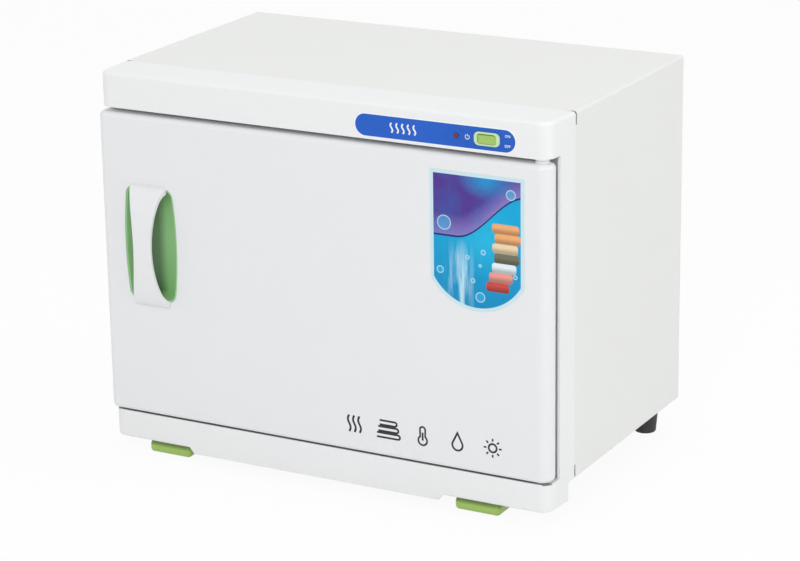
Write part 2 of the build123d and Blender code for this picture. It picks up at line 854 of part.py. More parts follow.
# Steriliser lamp under the chamber's ceiling, near the back
lamp_y = chamber_back_y - lamp_from_rear
lamp_z = chamber_ceiling - lamp_below_ceiling
lamp_half = tube_length / 2
cap_end = lamp_half + cap_length
with BuildPart() as uv_lamp:
    with BuildSketch(Plane.YZ.offset(-lamp_half)):
        with Locations((lamp_y, lamp_z)):
            Circle(tube_radius)
    extrude(amount=tube_length)
    for side in (-1, 1):
        with BuildSketch(Plane.YZ.offset(side * lamp_half)):
            with Locations((lamp_y, lamp_z)):
                Circle(cap_radius)
        extrude(amount=side * cap_length)
        with BuildSketch(Plane.YZ.offset(side * cap_end)):
            with Locations((lamp_y, lamp_z)):
                with GridLocations(lamp_pin_spacing, 0, 2, 1):
                    Circle(lamp_pin_radius)
        extrude(amount=side * lamp_pin_length)
uv_lamp.part.label = "uv_lamp"
export_step(uv_lamp.part, "parts/uv_lamp.step")

for side, name in ((-1, "lamp_holder_left"), (1, "lamp_holder_right")):
    near = side * (cap_end + holder_gap)
    far = side * (cap_end + holder_gap + holder_size[0])
    slot_end = side * (cap_end + lamp_pin_length + holder_gap)
    slot_half = lamp_pin_spacing / 2 + lamp_pin_radius + pin_slot_gap
    with BuildPart() as lamp_holder:
        block(
            (min(near, far), max(near, far)),
            (lamp_y - holder_size[1] / 2, lamp_y + holder_size[1] / 2),
            (chamber_ceiling - holder_size[2], chamber_ceiling),
        )
        fillet(edges().filter_by(Axis.X).group_by(Axis.Z)[0], radius=holder_radius)
        block(
            (min(near, slot_end), max(near, slot_end)),
            (lamp_y - slot_half, lamp_y + slot_half),
            (chamber_ceiling - holder_size[2], lamp_z + lamp_pin_radius + pin_slot_gap),
            Mode.SUBTRACT,
        )
    lamp_holder.part.label = name
    export_step(lamp_holder.part, f"parts/{name}.step")

# Slotted guard folded round the lamp and fixed to the ceiling
with BuildPart() as lamp_guard:
    with BuildSketch(Plane.YZ.offset(-guard_length / 2)):
        with Locations((lamp_y, chamber_ceiling)):
            Rectangle(
                2 * (guard_half_width + guard_wall),
                guard_drop,
                align=(Align.CENTER, Align.MAX),
            )
            fillet(vertices().group_by(Axis.Y)[0], radius=guard_bend + guard_wall)
        with BuildSketch(mode=Mode.PRIVATE) as inside:
            with Locations((lamp_y, chamber_ceiling)):
                Rectangle(
                    2 * guard_half_width,
                    guard_drop - guard_wall,
                    align=(Align.CENTER, Align.MAX),
                )
            fillet(vertices().group_by(Axis.Y)[0], radius=guard_bend)
        add(inside.sketch, mode=Mode.SUBTRACT)
        for side in (-1, 1):
            foot_y = lamp_y + side * (guard_half_width + (guard_foot + guard_wall) / 2)
            with Locations((foot_y, chamber_ceiling)):
                Rectangle(guard_foot + guard_wall, guard_wall, align=(Align.CENTER, Align.MAX))
    extrude(amount=guard_length)
    with BuildSketch(Plane.XY.offset(chamber_ceiling - guard_drop)):
        with Locations((0, lamp_y)):
            with GridLocations(guard_slot_pitch, 0, guard_slot_count, 1):
                Rectangle(guard_slot_width, 2 * (guard_half_width - guard_bend))
    extrude(amount=guard_wall, mode=Mode.SUBTRACT)
    with BuildSketch(facing_front(lamp_y - guard_half_width - guard_wall)):
        with Locations((0, chamber_ceiling - guard_drop / 2)):
            with GridLocations(guard_slot_pitch, 0, guard_slot_count, 1):
                Rectangle(guard_slot_width, guard_drop / 2)
    extrude(amount=-2 * (guard_half_width + guard_wall), mode=Mode.SUBTRACT)
lamp_guard.part.label = "lamp_guard"
export_step(lamp_guard.part, "parts/lamp_guard.step")


# Folded rails on the chamber's sides that carry the racks
rack_levels = (chamber_floor + lower_rack_height, chamber_floor + upper_rack_height)
ledge_offset = rack_wire / 2 + rack_play + rail_wall / 2
rail_bottom = rack_levels[0] - rail_bottom_margin
rail_top = rack_levels[1] + rail_top_margin
rail_front_y = land_y + rail_front_gap
rail_back_y = chamber_back_y - rack_rear_gap
for side, name in ((-1, "rack_rail_left"), (1, "rack_rail_right")):
    with BuildPart() as rack_rail:
        with BuildSketch(facing_front(rail_front_y)):
            with Locations((side * (chamber_half - rail_wall / 2), (rail_bottom + rail_top) / 2)):
                Rectangle(rail_wall, rail_top - rail_bottom)
            for level in rack_levels:
                for offset_z in (-ledge_offset, ledge_offset):
                    ledge_x = side * (chamber_half - (rail_wall + rail_ledge) / 2)
                    with Locations((ledge_x, level + offset_z)):
                        Rectangle(rail_wall + rail_ledge, rail_wall)
        extrude(amount=rail_front_y - rail_back_y)
    rack_rail.part.label = name
    export_step(rack_rail.part, f"parts/{name}.step")


# Wire racks: a closed frame wire with a brace across and thin wires welded on top
rack_half_x = chamber_half - rail_wall - rack_side_gap - rack_wire / 2
rack_front_y = land_y + rack_front_gap + rack_wire / 2
rack_back_y = chamber_back_y - rack_rear_gap - rack_wire / 2
rack_middle_y = (rack_front_y + rack_back_y) / 2
rack_depth = rack_back_y - rack_front_y
cross_span = 2 * (rack_half_x - rack_corner_radius)
for level, name in zip(rack_levels, ("lower_rack", "upper_rack")):
    with BuildPart() as rack:
        with BuildLine(Plane.XY.offset(level)) as frame_path:
            FilletPolyline(
                (rack_half_x, rack_front_y),
                (rack_half_x, rack_back_y),
                (-rack_half_x, rack_back_y),
                (-rack_half_x, rack_front_y),
                radius=rack_corner_radius,
                close=True,
            )
        frame_wire = frame_path.wires()[0]
        with BuildSketch(Plane(origin=frame_wire @ 0, z_dir=frame_wire % 0)):
            Circle(rack_wire / 2)
        sweep(path=frame_wire)
        with BuildSketch(Plane.YZ.offset(-rack_half_x)):
            with Locations((rack_middle_y, level)):
                Circle((rack_wire - brace_slimmer) / 2)
        extrude(amount=2 * rack_half_x)
        with BuildSketch(facing_front(rack_front_y - rack_cross_wire / 2)):
            with Locations((0, level + rack_wire / 2 + rack_cross_wire / 2 - weld_sink)):
                with GridLocations(cross_span / (rack_cross_count - 1), 0, rack_cross_count, 1):
                    Circle(rack_cross_wire / 2)
        extrude(amount=-rack_depth - rack_cross_wire)
    rack.part.label = name
    export_step(rack.part, f"parts/{name}.step")


# Drip tray on the chamber floor: a shallow pan with sloping sides and a flat rim
tray_rim_half = chamber_half - tray_side_gap
tray_rim_depth = rack_depth + rack_wire
tray_bottom = chamber_floor + rack_play
tray_top = tray_bottom + tray_height
pan_top = (2 * (tray_rim_half - tray_rim), tray_rim_depth - 2 * tray_rim)
pan_floor = (pan_top[0] - 2 * tray_slope, pan_top[1] - 2 * tray_slope)
pan_lip = 2.5 * tray_wall  # the sloping side is this thick, both sides together, at the rim
with BuildPart() as drip_tray:
    with BuildSketch(Plane.XY.offset(tray_bottom)):
        with Locations((0, rack_middle_y)):
            RectangleRounded(pan_floor[0], pan_floor[1], tray_corner_radius - tray_rim)
    with BuildSketch(Plane.XY.offset(tray_top)):
        with Locations((0, rack_middle_y)):
            RectangleRounded(pan_top[0], pan_top[1], tray_corner_radius)
    loft()
    with BuildSketch(Plane.XY.offset(tray_top - tray_wall)):
        with Locations((0, rack_middle_y)):
            RectangleRounded(
                2 * tray_rim_half,
                tray_rim_depth,
                tray_corner_radius + tray_rim / 2,
            )
    extrude(amount=tray_wall)
    with BuildSketch(Plane.XY.offset(tray_bottom + tray_wall)):
        with Locations((0, rack_middle_y)):
            RectangleRounded(
                pan_floor[0] - tray_wall,
                pan_floor[1] - tray_wall,
                tray_corner_radius - tray_rim - tray_wall / 2,
            )
    with BuildSketch(Plane.XY.offset(tray_top)):
        with Locations((0, rack_middle_y)):
            RectangleRounded(
                pan_top[0] - pan_lip,
                pan_top[1] - pan_lip,
                tray_corner_radius - pan_lip / 2,
            )
    loft(mode=Mode.SUBTRACT)
drip_tray.part.label = "drip_tray"
export_step(drip_tray.part, "parts/drip_tray.step")


# Magnet catch on the land beside the handle, with its strike plate on the door
strike_back_y = door_back_y + strike_wall
catch_front_y = strike_back_y + catch_air_gap
with BuildPart() as magnet_catch:
    with BuildSketch(facing_front(catch_front_y)):
        with Locations((-side_land_x, opening_middle)):
            RectangleRounded(catch_size[0], catch_size[1], strike_margin)
            with GridLocations(0, catch_size[1] / 2, 1, 2):
                Rectangle(*catch_slot, mode=Mode.SUBTRACT)
    extrude(amount=catch_front_y - land_y)
magnet_catch.part.label = "magnet_catch"
export_step(magnet_catch.part, "parts/magnet_catch.step")

with BuildPart() as strike_plate:
    with BuildSketch(facing_front(strike_back_y)):
        with Locations((-side_land_x, opening_middle)):
            RectangleRounded(
                catch_size[0] + 2 * strike_margin,
                catch_size[1] + 4 * strike_margin,
                1.5 * strike_margin,
            )
    extrude(amount=strike_wall)
strike_plate.part.label = "strike_plate"
export_step(strike_plate.part, "parts/strike_plate.step")


# Interlock switch behind the land, and the plunger that the closed door holds in
interlock_front_y = land_y + mould_wall
plunger_tip_y = door_back_y + catch_air_gap
plunger_back_y = interlock_front_y + plunger_hold
with BuildPart() as interlock_switch:
    block(
        (side_land_x - interlock_size[0] / 2, side_land_x + interlock_size[0] / 2),
        (interlock_front_y, interlock_front_y + interlock_size[1]),
        (plunger_z - interlock_size[2] / 2, plunger_z + interlock_size[2] / 2),
    )
    fillet(edges().filter_by(Axis.Y), radius=1)
    with BuildSketch(facing_front(interlock_front_y)):
        with Locations((side_land_x, plunger_z)):
            Circle(plunger_radius + plunger_clearance)
    extrude(amount=interlock_front_y - plunger_back_y, mode=Mode.SUBTRACT)
    with BuildSketch(facing_front(plunger_back_y + catch_air_gap)):
        with Locations((side_land_x, plunger_z)):
            Circle(plunger_radius + plunger_collar + catch_air_gap)
    extrude(
        amount=plunger_collar_length + plunger_travel + 2 * catch_air_gap,
        mode=Mode.SUBTRACT,
    )
    with BuildSketch(facing_front(interlock_front_y + interlock_size[1])):
        with Locations((side_land_x, plunger_z)):
            with GridLocations(0, small_tab_pitch, 1, 3):
                Rectangle(*small_tab_size)
    extrude(amount=-small_tab_length)
interlock_switch.part.label = "interlock_switch"
export_step(interlock_switch.part, "parts/interlock_switch.step")

with BuildPart() as interlock_plunger:
    with BuildSketch(facing_front(plunger_tip_y)):
        with Locations((side_land_x, plunger_z)):
            Circle(plunger_radius)
    extrude(amount=plunger_tip_y - plunger_back_y)
    fillet(faces().sort_by(Axis.Y)[0].edges(), radius=plunger_tip_radius)
    with BuildSketch(facing_front(plunger_back_y)):
        with Locations((side_land_x, plunger_z)):
            Circle(plunger_radius + plunger_collar)
    extrude(amount=plunger_collar_length)
interlock_plunger.part.label = "interlock_plunger"
export_step(interlock_plunger.part, "parts/interlock_plunger.step")


# Feet: green pads under the front strip, tapered rubber feet under the base plate
for foot_x, name in zip(front_foot_xs, ("front_foot_left", "front_foot_right")):
    with BuildPart() as front_foot:
        with BuildSketch(Plane.XY):
            with Locations((foot_x, front_foot_y)):
                RectangleRounded(front_foot_size[0], front_foot_size[1], foot_edge_radius)
        extrude(amount=foot_bevel_start)
        fillet(faces().sort_by(Axis.Z)[0].edges(), radius=foot_edge_radius - 0.5)
        for z, inset in ((foot_bevel_start, 0), (front_foot_height, foot_bevel)):
            with BuildSketch(Plane.XY.offset(z)):
                with Locations((foot_x, front_foot_y)):
                    RectangleRounded(
                        front_foot_size[0] - 2 * inset,
                        front_foot_size[1] - 2 * inset,
                        foot_edge_radius - inset / 2,
                    )
        loft()
        with BuildSketch(Plane.XY.offset(front_foot_height)):
            with Locations((foot_x, front_foot_y)):
                Circle(foot_spigot_radius)
        extrude(amount=foot_spigot_length)
    front_foot.part.label = name
    export_step(front_foot.part, f"parts/{name}.step")

rear_foot_y = back_y - rear_foot_from_back
screw_recess_radius = screw_head_radius + screw_recess_gap
for side, name in ((-1, "rear_foot_left"), (1, "rear_foot_right")):
    with BuildPart() as rear_foot:
        with Locations((side * rear_foot_from_middle, rear_foot_y, 0)):
            Cone(
                rear_foot_bottom_radius,
                rear_foot_top_radius,
                base_bottom,
                align=(Align.CENTER, Align.CENTER, Align.MIN),
            )
        fillet(faces().sort_by(Axis.Z)[0].edges(), radius=rear_foot_edge_radius)
        with Locations((side * rear_foot_from_middle, rear_foot_y, 0)):
            Cylinder(
                screw_recess_radius,
                screw_recess_depth,
                align=(Align.CENTER, Align.CENTER, Align.MIN),
                mode=Mode.SUBTRACT,
            )
            Cylinder(
                screw_radius + press_clearance,
                base_bottom,
                align=(Align.CENTER, Align.CENTER, Align.MIN),
                mode=Mode.SUBTRACT,
            )
    rear_foot.part.label = name
    export_step(rear_foot.part, f"parts/{name}.step")

with BuildPart() as foot_screws:
    with BuildSketch(Plane.XY.offset(screw_recess_depth - screw_head_height)):
        with Locations(*[(side * rear_foot_from_middle, rear_foot_y) for side in (-1, 1)]):
            Circle(screw_head_radius)
    extrude(amount=screw_head_height)
    with BuildSketch(Plane.XY.offset(screw_recess_depth)):
        with Locations(*[(side * rear_foot_from_middle, rear_foot_y) for side in (-1, 1)]):
            Circle(screw_radius)
    extrude(amount=base_top + foot_screw_reach - screw_recess_depth)
foot_screws.part.label = "foot_screws"
export_step(foot_screws.part, "parts/foot_screws.step")


# Hinge: steel pins in the frame's bosses turn in flanged nylon bushes in the door
bush_radius = pin_radius + pin_clearance + bush_wall
upper_flange_height = door_gap_above - hinge_boss_rise - hinge_float
lower_flange_height = door_gap_below - low_boss_rise - hinge_float
upper_pin_top = header_bottom + mould_wall + pin_grip
upper_pin_bottom = door_top - bush_length + pin_end_gap
lower_pin_bottom = strip_top - mould_wall - pin_grip
lower_pin_top = door_bottom + bush_length - pin_end_gap
for name, low, high in (
    ("hinge_pin_upper", upper_pin_bottom, upper_pin_top),
    ("hinge_pin_lower", lower_pin_bottom, lower_pin_top),
):
    with BuildPart() as hinge_pin:
        with BuildSketch(Plane.XY.offset(low)):
            with Locations((hinge_x, hinge_y)):
                Circle(pin_radius)
        extrude(amount=high - low)
        chamfer(faces().filter_by(Axis.Z).edges(), length=pin_chamfer)
    hinge_pin.part.label = name
    export_step(hinge_pin.part, f"parts/{name}.step")

for name, flange_z, flange_height, sleeve in (
    ("hinge_bush_upper", door_top, upper_flange_height, -bush_length),
    ("hinge_bush_lower", door_bottom, -lower_flange_height, bush_length),
):
    with BuildPart() as hinge_bush:
        with BuildSketch(Plane.XY.offset(flange_z)):
            with Locations((hinge_x, hinge_y)):
                Circle(hinge_flange_radius)
        extrude(amount=flange_height)
        with BuildSketch(Plane.XY.offset(flange_z)):
            with Locations((hinge_x, hinge_y)):
                Circle(bush_radius)
        extrude(amount=sleeve)
        with BuildSketch(Plane.XY.offset(flange_z + flange_height)):
            with Locations((hinge_x, hinge_y)):
                Circle(pin_radius + pin_clearance)
        extrude(amount=sleeve - flange_height, mode=Mode.SUBTRACT)
    hinge_bush.part.label = name
    export_step(hinge_bush.part, f"parts/{name}.step")


# Control panel: the label, the rocker switch in its housing and the indicator lamp's lens
label_y = frame_face_y - label_wall
with BuildPart() as control_label:
    with BuildSketch(facing_front(frame_face_y)):
        with Locations((label_x, label_z)):
            SlotOverall(label_length, label_height)
        with Locations((switch_x, label_z)):
            RectangleRounded(
                switch_body_width, switch_body_height, switch_body_radius, mode=Mode.SUBTRACT
            )
        with Locations((lamp_x, label_z)):
            Circle(lens_radius, mode=Mode.SUBTRACT)
    extrude(amount=label_wall)
control_label.part.label = "control_label"
export_step(control_label.part, "parts/control_label.step")

bezel_y = label_y - bezel_wall
switch_back_y = frame_face_y + switch_depth
rocker_y = frame_face_y + rocker_pivot_depth
rocker_end_x = rocker_width / 2 + rocker_side_gap + rocker_pin_length
with BuildPart() as switch_housing:
    with BuildSketch(facing_front(label_y)):
        with Locations((switch_x, label_z)):
            RectangleRounded(bezel_width, bezel_height, bezel_radius)
    extrude(amount=bezel_wall)
    fillet(faces().sort_by(Axis.Y)[0].edges(), radius=bezel_wall / 2)
    with BuildSketch(facing_front(label_y)):
        with Locations((switch_x, label_z)):
            RectangleRounded(
                switch_body_width - 2 * pin_clearance,
                switch_body_height - 2 * pin_clearance,
                switch_body_radius,
            )
    extrude(amount=label_y - switch_back_y)
    with BuildSketch(facing_front(bezel_y)):
        with Locations((switch_x, label_z)):
            RectangleRounded(
                rocker_width + 2 * rocker_side_gap,
                rocker_height + 2 * rocker_gap,
                rocker_corner_radius + rocker_side_gap,
            )
    extrude(amount=bezel_y - switch_back_y + switch_floor, mode=Mode.SUBTRACT)
    with BuildSketch(Plane.YZ.offset(switch_x - rocker_end_x - pin_clearance)):
        with Locations((rocker_y, label_z)):
            Circle(rocker_pin_radius + pin_clearance)
    extrude(amount=2 * (rocker_end_x + pin_clearance), mode=Mode.SUBTRACT)
    with BuildSketch(facing_front(switch_back_y)):
        with Locations((switch_x, label_z)):
            with GridLocations(switch_tab_pitch, 0, 2, 1):
                Rectangle(switch_tab_size[1], switch_tab_size[0])
    extrude(amount=-switch_tab_length)
switch_housing.part.label = "switch_housing"
export_step(switch_housing.part, "parts/switch_housing.step")

with BuildPart() as power_rocker:
    with BuildSketch(Plane.YZ.offset(switch_x - rocker_width / 2)):
        with BuildLine():
            Polyline(
                (rocker_y - rocker_reach, label_z - rocker_height / 2),
                (rocker_y - rocker_reach + rocker_dip, label_z),
                (rocker_y - rocker_reach, label_z + rocker_height / 2),
                (rocker_y, label_z + rocker_height / 2),
                (rocker_y + rocker_reach, label_z + rocker_tail / 2),
                (rocker_y + rocker_reach, label_z - rocker_tail / 2),
                (rocker_y, label_z - rocker_height / 2),
                close=True,
            )
        make_face()
    extrude(amount=rocker_width)
    with BuildSketch(facing_front(rocker_y - rocker_reach)):
        with Locations((switch_x, label_z)):
            RectangleRounded(rocker_width, rocker_height, rocker_corner_radius)
    extrude(amount=-2 * rocker_reach, mode=Mode.INTERSECT)
    rocker_sides = faces().filter_by(Plane.XZ, reverse=True)
    fillet(rocker_sides.edges().filter_by(Axis.X).group_by(Axis.Y)[0], radius=rocker_edge_radius)
    with BuildSketch(Plane.YZ.offset(switch_x - rocker_end_x)):
        with Locations((rocker_y, label_z)):
            Circle(rocker_pin_radius)
    extrude(amount=2 * rocker_end_x)
rocker_axis = Axis((switch_x, rocker_y, label_z), (1, 0, 0))
power_rocker.part = power_rocker.part.rotate(rocker_axis, rocker_tilt)
power_rocker.part.label = "power_rocker"
export_step(power_rocker.part, "parts/power_rocker.step")

with BuildPart() as indicator_lens:
    with BuildSketch(facing_front(label_y - lens_reach)):
        with Locations((lamp_x, label_z)):
            Circle(lens_radius - pin_clearance)
    extrude(amount=-(lens_reach + label_wall + mould_wall))
    fillet(faces().sort_by(Axis.Y)[0].edges(), radius=lens_reach)
    with BuildSketch(facing_front(frame_face_y + mould_wall)):
        with Locations((lamp_x, label_z)):
            Circle(lens_radius + lens_flange)
    extrude(amount=-lens_back)
indicator_lens.part.label = "indicator_lens"
export_step(indicator_lens.part, "parts/indicator_lens.step")


# Door strap: a bridge over the grip opening, narrow in the middle, with rounded shoulders
strap_half = strap_length / 2
shoulder_z = strap_half - strap_shoulder
shoulder_y = door_face_y - handle_bow + strap_shoulder_drop
under_half = strap_half - 1.5 * strap_thickness
under_z = shoulder_z - strap_thickness / 2
under_y = shoulder_y + strap_thickness
with BuildPart() as door_strap:
    with BuildSketch(Plane.YZ.offset(handle_x - strap_end_width / 2)):
        with BuildLine():
            ThreePointArc(
                (shoulder_y, handle_z - shoulder_z),
                (door_face_y - handle_bow, handle_z),
                (shoulder_y, handle_z + shoulder_z),
            )
            Polyline(
                (shoulder_y, handle_z + shoulder_z),
                (door_face_y, handle_z + strap_half),
                (door_face_y, handle_z - strap_half),
                (shoulder_y, handle_z - shoulder_z),
            )
        make_face()
        fillet(vertices().group_by(Axis.X)[0], radius=strap_shoulder_radius)
        with BuildLine():
            ThreePointArc(
                (under_y, handle_z - under_z),
                (door_face_y - handle_bow + strap_thickness, handle_z),
                (under_y, handle_z + under_z),
            )
            Polyline(
                (under_y, handle_z + under_z),
                (door_face_y, handle_z + under_half),
                (door_face_y, handle_z - under_half),
                (under_y, handle_z - under_z),
            )
        make_face(mode=Mode.SUBTRACT)
    extrude(amount=strap_end_width)
    with BuildSketch(facing_front(door_face_y)):
        with BuildLine():
            for turn in (1, -1):
                end_x = turn * strap_end_width / 2
                end_z = turn * strap_half
                ThreePointArc(
                    (handle_x + end_x, handle_z - end_z),
                    (handle_x + turn * strap_width / 2, handle_z),
                    (handle_x + end_x, handle_z + end_z),
                )
                Line((handle_x + end_x, handle_z + end_z), (handle_x - end_x, handle_z + end_z))
        make_face()
    extrude(amount=handle_bow, mode=Mode.INTERSECT)


# Door shell: a hollow white moulding, half round at its hinge edge, open towards the chamber
door_left = -door_half
pocket_left = door_left + door_wall
panel_right = hinge_x - door_wall
boss_left = hinge_x - bush_radius - door_wall
panel_front_y = door_back_y - inner_panel_wall
panel_screw_heights = (
    door_bottom + panel_screw_margin,
    door_bottom + panel_screw_share * door_height,
    door_top - panel_screw_margin,
)
screw_left_x = pocket_left + screw_boss_inset + screw_boss_radius
screw_right_x = boss_left - screw_boss_radius
panel_screw_points = [(x, z) for x in (screw_left_x, screw_right_x) for z in panel_screw_heights]
with BuildPart() as door_shell:
    with BuildSketch(Plane.XY.offset(door_bottom)):
        with BuildLine():
            Line((door_left, door_back_y), (door_left, door_face_y + door_corner_radius))
            CenterArc(
                (door_left + door_corner_radius, door_face_y + door_corner_radius),
                door_corner_radius,
                180,
                90,
            )
            Line((door_left + door_corner_radius, door_face_y), (hinge_x, door_face_y))
            CenterArc((hinge_x, hinge_y), hinge_radius, -90, 180)
            Line((hinge_x, door_back_y), (door_left, door_back_y))
        make_face()
    extrude(amount=door_height)
    fillet(faces().sort_by(Axis.Z)[-1].edges().sort_by(Axis.Y)[:-1], radius=door_edge_radius)
    fillet(faces().sort_by(Axis.Z)[0].edges().sort_by(Axis.Y)[:-1], radius=door_edge_radius - 1)
    # Hollow behind the face, wider between the hinge bosses, with a seat for the inner panel
    block(
        (pocket_left, boss_left),
        (door_face_y + door_wall, door_back_y),
        (door_bottom + door_wall, door_top - door_wall),
        Mode.SUBTRACT,
    )
    block(
        (pocket_left, panel_right),
        (panel_front_y, door_back_y),
        (door_bottom + door_wall, door_top - door_wall),
        Mode.SUBTRACT,
    )
    boss_clear = bush_length + door_wall
    block(
        (boss_left, panel_right),
        (door_face_y + door_wall, door_back_y),
        (door_bottom + boss_clear, door_top - boss_clear),
        Mode.SUBTRACT,
    )
    with BuildSketch(Plane.XY.offset(door_bottom + boss_clear)):
        with Locations((hinge_x, hinge_y)):
            Circle(hinge_radius - door_wall)
    extrude(amount=door_height - 2 * boss_clear, mode=Mode.SUBTRACT)
    # Seats for the hinge bushes
    with BuildSketch(Plane.XY.offset(door_bottom)):
        with Locations((hinge_x, hinge_y)):
            Circle(bush_radius + press_clearance)
    extrude(amount=door_height, mode=Mode.SUBTRACT)
    # Bosses for the inner panel's screws
    with BuildSketch(facing_front(panel_front_y)):
        with Locations(*panel_screw_points):
            Circle(screw_boss_radius)
            Circle(screw_radius + press_clearance, mode=Mode.SUBTRACT)
    extrude(amount=panel_front_y - door_face_y - door_wall)
    # Grip opening, bridged by the strap
    with BuildSketch(facing_front(door_face_y)):
        add(grip_outline(0))
    extrude(amount=-door_wall, mode=Mode.SUBTRACT)
    add(door_strap.part)
door_shell.part.label = "door_shell"
export_step(door_shell.part, "parts/door_shell.step")


# Green cup behind the grip opening
cup_rim_y = door_face_y + cup_inset
cup_floor_y = door_face_y + cup_depth
cup_back_y = cup_floor_y + cup_wall
with BuildPart() as handle_cup:
    for y, inset in ((cup_rim_y, cup_fit), (cup_back_y, cup_fit + cup_slope)):
        with BuildSketch(facing_front(y)):
            add(grip_outline(-inset))
    loft()
    fillet(faces().sort_by(Axis.Y)[-1].edges(), radius=cup_back_radius)
    with BuildSketch(facing_front(door_face_y + door_wall)):
        add(grip_outline(cup_flange))
    extrude(amount=-cup_wall)
    for y, inset in ((cup_rim_y, cup_fit), (cup_floor_y, cup_fit + cup_slope)):
        with BuildSketch(facing_front(y)):
            add(grip_outline(-inset - cup_wall))
    loft(mode=Mode.SUBTRACT)
handle_cup.part.label = "handle_cup"
export_step(handle_cup.part, "parts/handle_cup.step")


# Inner panel of the door, its middle pressed out towards the chamber
panel_low = door_bottom + door_wall + panel_clearance
panel_high = door_top - door_wall - panel_clearance
panel_x = (pocket_left + panel_clearance, panel_right - panel_clearance)
bulge_width = 2 * (opening_half - bulge_inset)
bulge_height = opening_height - 2 * bulge_inset
with BuildPart() as door_inner_panel:
    block(panel_x, (panel_front_y, door_back_y), (panel_low, panel_high))
    with BuildSketch(facing_front(door_back_y)):
        with Locations((0, opening_middle)):
            RectangleRounded(bulge_width, bulge_height, opening_radius)
    extrude(amount=-panel_bulge, taper=bulge_taper)
    with BuildSketch(facing_front(panel_front_y)):
        with Locations((0, opening_middle)):
            RectangleRounded(
                bulge_width - 2 * inner_panel_wall,
                bulge_height - 2 * inner_panel_wall,
                opening_radius - inner_panel_wall,
            )
    extrude(amount=-panel_bulge, taper=bulge_taper, mode=Mode.SUBTRACT)
    with BuildSketch(facing_front(panel_front_y)):
        with Locations(*panel_screw_points):
            Circle(screw_radius + pin_clearance)
    extrude(amount=-inner_panel_wall, mode=Mode.SUBTRACT)
door_inner_panel.part.label = "door_inner_panel"
export_step(door_inner_panel.part, "parts/door_inner_panel.step")

with BuildPart() as panel_screws:
    with BuildSketch(facing_front(door_back_y)):
        with Locations(*panel_screw_points):
            Circle(screw_head_radius)
    extrude(amount=-screw_head_height)
    chamfer(faces().group_by(Axis.Y)[-1].edges(), length=screw_head_chamfer)
    with BuildSketch(facing_front(door_back_y)):
        with Locations(*panel_screw_points):
            Circle(screw_radius)
    extrude(amount=screw_length)
    with BuildSketch(facing_front(door_back_y + screw_head_height)):
        with Locations(*panel_screw_points):
            Rectangle(recess_length, recess_width)
            Rectangle(recess_width, recess_length)
    extrude(amount=recess_depth, mode=Mode.SUBTRACT)
panel_screws.part.label = "panel_screws"
export_step(panel_screws.part, "parts/panel_screws.step")


# Foam slab inside the door, cut out round the handle cup
foam_front_y = door_face_y + door_wall + sheet_clearance
foam_back_y = panel_front_y - sheet_clearance
foam_x = (pocket_left + foam_margin, screw_right_x - screw_boss_radius - foam_cup_gap)
foam_z = (door_bottom + foam_margin, door_top - foam_margin)
with BuildPart() as door_insulation:
    block(foam_x, (foam_front_y, foam_back_y), foam_z)
    with BuildSketch(facing_front(foam_front_y)):
        add(grip_outline(cup_flange + foam_cup_gap))
    extrude(amount=foam_front_y - foam_back_y, mode=Mode.SUBTRACT)
door_insulation.part.label = "door_insulation"
export_step(door_insulation.part, "parts/door_insulation.step")


# Silicone gasket on the inner panel, facing the liner's flange
gasket_front_y = land_y - liner_wall - gasket_gap
gasket_half = opening_half + gasket_margin
gasket_inner_height = opening_height + 2 * gasket_margin
with BuildPart() as door_gasket:
    with BuildSketch(facing_front(door_back_y)):
        with Locations((0, opening_middle)):
            RectangleRounded(
                2 * (gasket_half + gasket_width),
                gasket_inner_height + 2 * gasket_width,
                opening_radius + gasket_width,
            )
            RectangleRounded(2 * gasket_half, gasket_inner_height, opening_radius, mode=Mode.SUBTRACT)
    extrude(amount=door_back_y - gasket_front_y)
    fillet(faces().sort_by(Axis.Y)[-1].edges(), radius=gasket_width / 2 - 1)
door_gasket.part.label = "door_gasket"
export_step(door_gasket.part, "parts/door_gasket.step")


# Printed film on the door: straight sides and an arched lower edge
sticker_right = door_half - sticker_from_edge
sticker_left = sticker_right - sticker_width
sticker_top = door_top - sticker_below_top
sticker_side_end = sticker_top - sticker_height + sticker_arc
with BuildPart() as door_sticker:
    with BuildSketch(facing_front(door_face_y)):
        with BuildLine():
            Polyline(
                (sticker_left, sticker_side_end),
                (sticker_left, sticker_top),
                (sticker_right, sticker_top),
                (sticker_right, sticker_side_end),
            )
            ThreePointArc(
                (sticker_right, sticker_side_end),
                ((sticker_left + sticker_right) / 2, sticker_top - sticker_height),
                (sticker_left, sticker_side_end),
            )
        make_face()
    extrude(amount=sticker_wall)
door_sticker.part.label = "door_sticker"
export_step(door_sticker.part, "parts/door_sticker.step")
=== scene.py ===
import math

import bmesh
import bpy
from mathutils import Matrix, Vector


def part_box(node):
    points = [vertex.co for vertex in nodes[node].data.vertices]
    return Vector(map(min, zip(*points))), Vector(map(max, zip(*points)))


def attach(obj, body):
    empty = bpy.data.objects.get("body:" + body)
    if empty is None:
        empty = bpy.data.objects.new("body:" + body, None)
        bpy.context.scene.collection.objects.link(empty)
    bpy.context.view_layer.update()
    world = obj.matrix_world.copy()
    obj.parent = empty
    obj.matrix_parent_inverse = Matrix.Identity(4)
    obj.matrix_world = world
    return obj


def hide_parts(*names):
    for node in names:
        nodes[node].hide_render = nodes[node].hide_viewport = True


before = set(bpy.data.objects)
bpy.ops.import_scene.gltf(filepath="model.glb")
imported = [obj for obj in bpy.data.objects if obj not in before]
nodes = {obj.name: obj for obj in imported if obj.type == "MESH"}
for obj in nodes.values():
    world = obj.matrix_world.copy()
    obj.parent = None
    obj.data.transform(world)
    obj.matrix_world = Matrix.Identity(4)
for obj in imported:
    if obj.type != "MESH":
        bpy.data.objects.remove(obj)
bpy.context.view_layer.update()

MM = 0.001
INK_DEPTH = 0.06 * MM
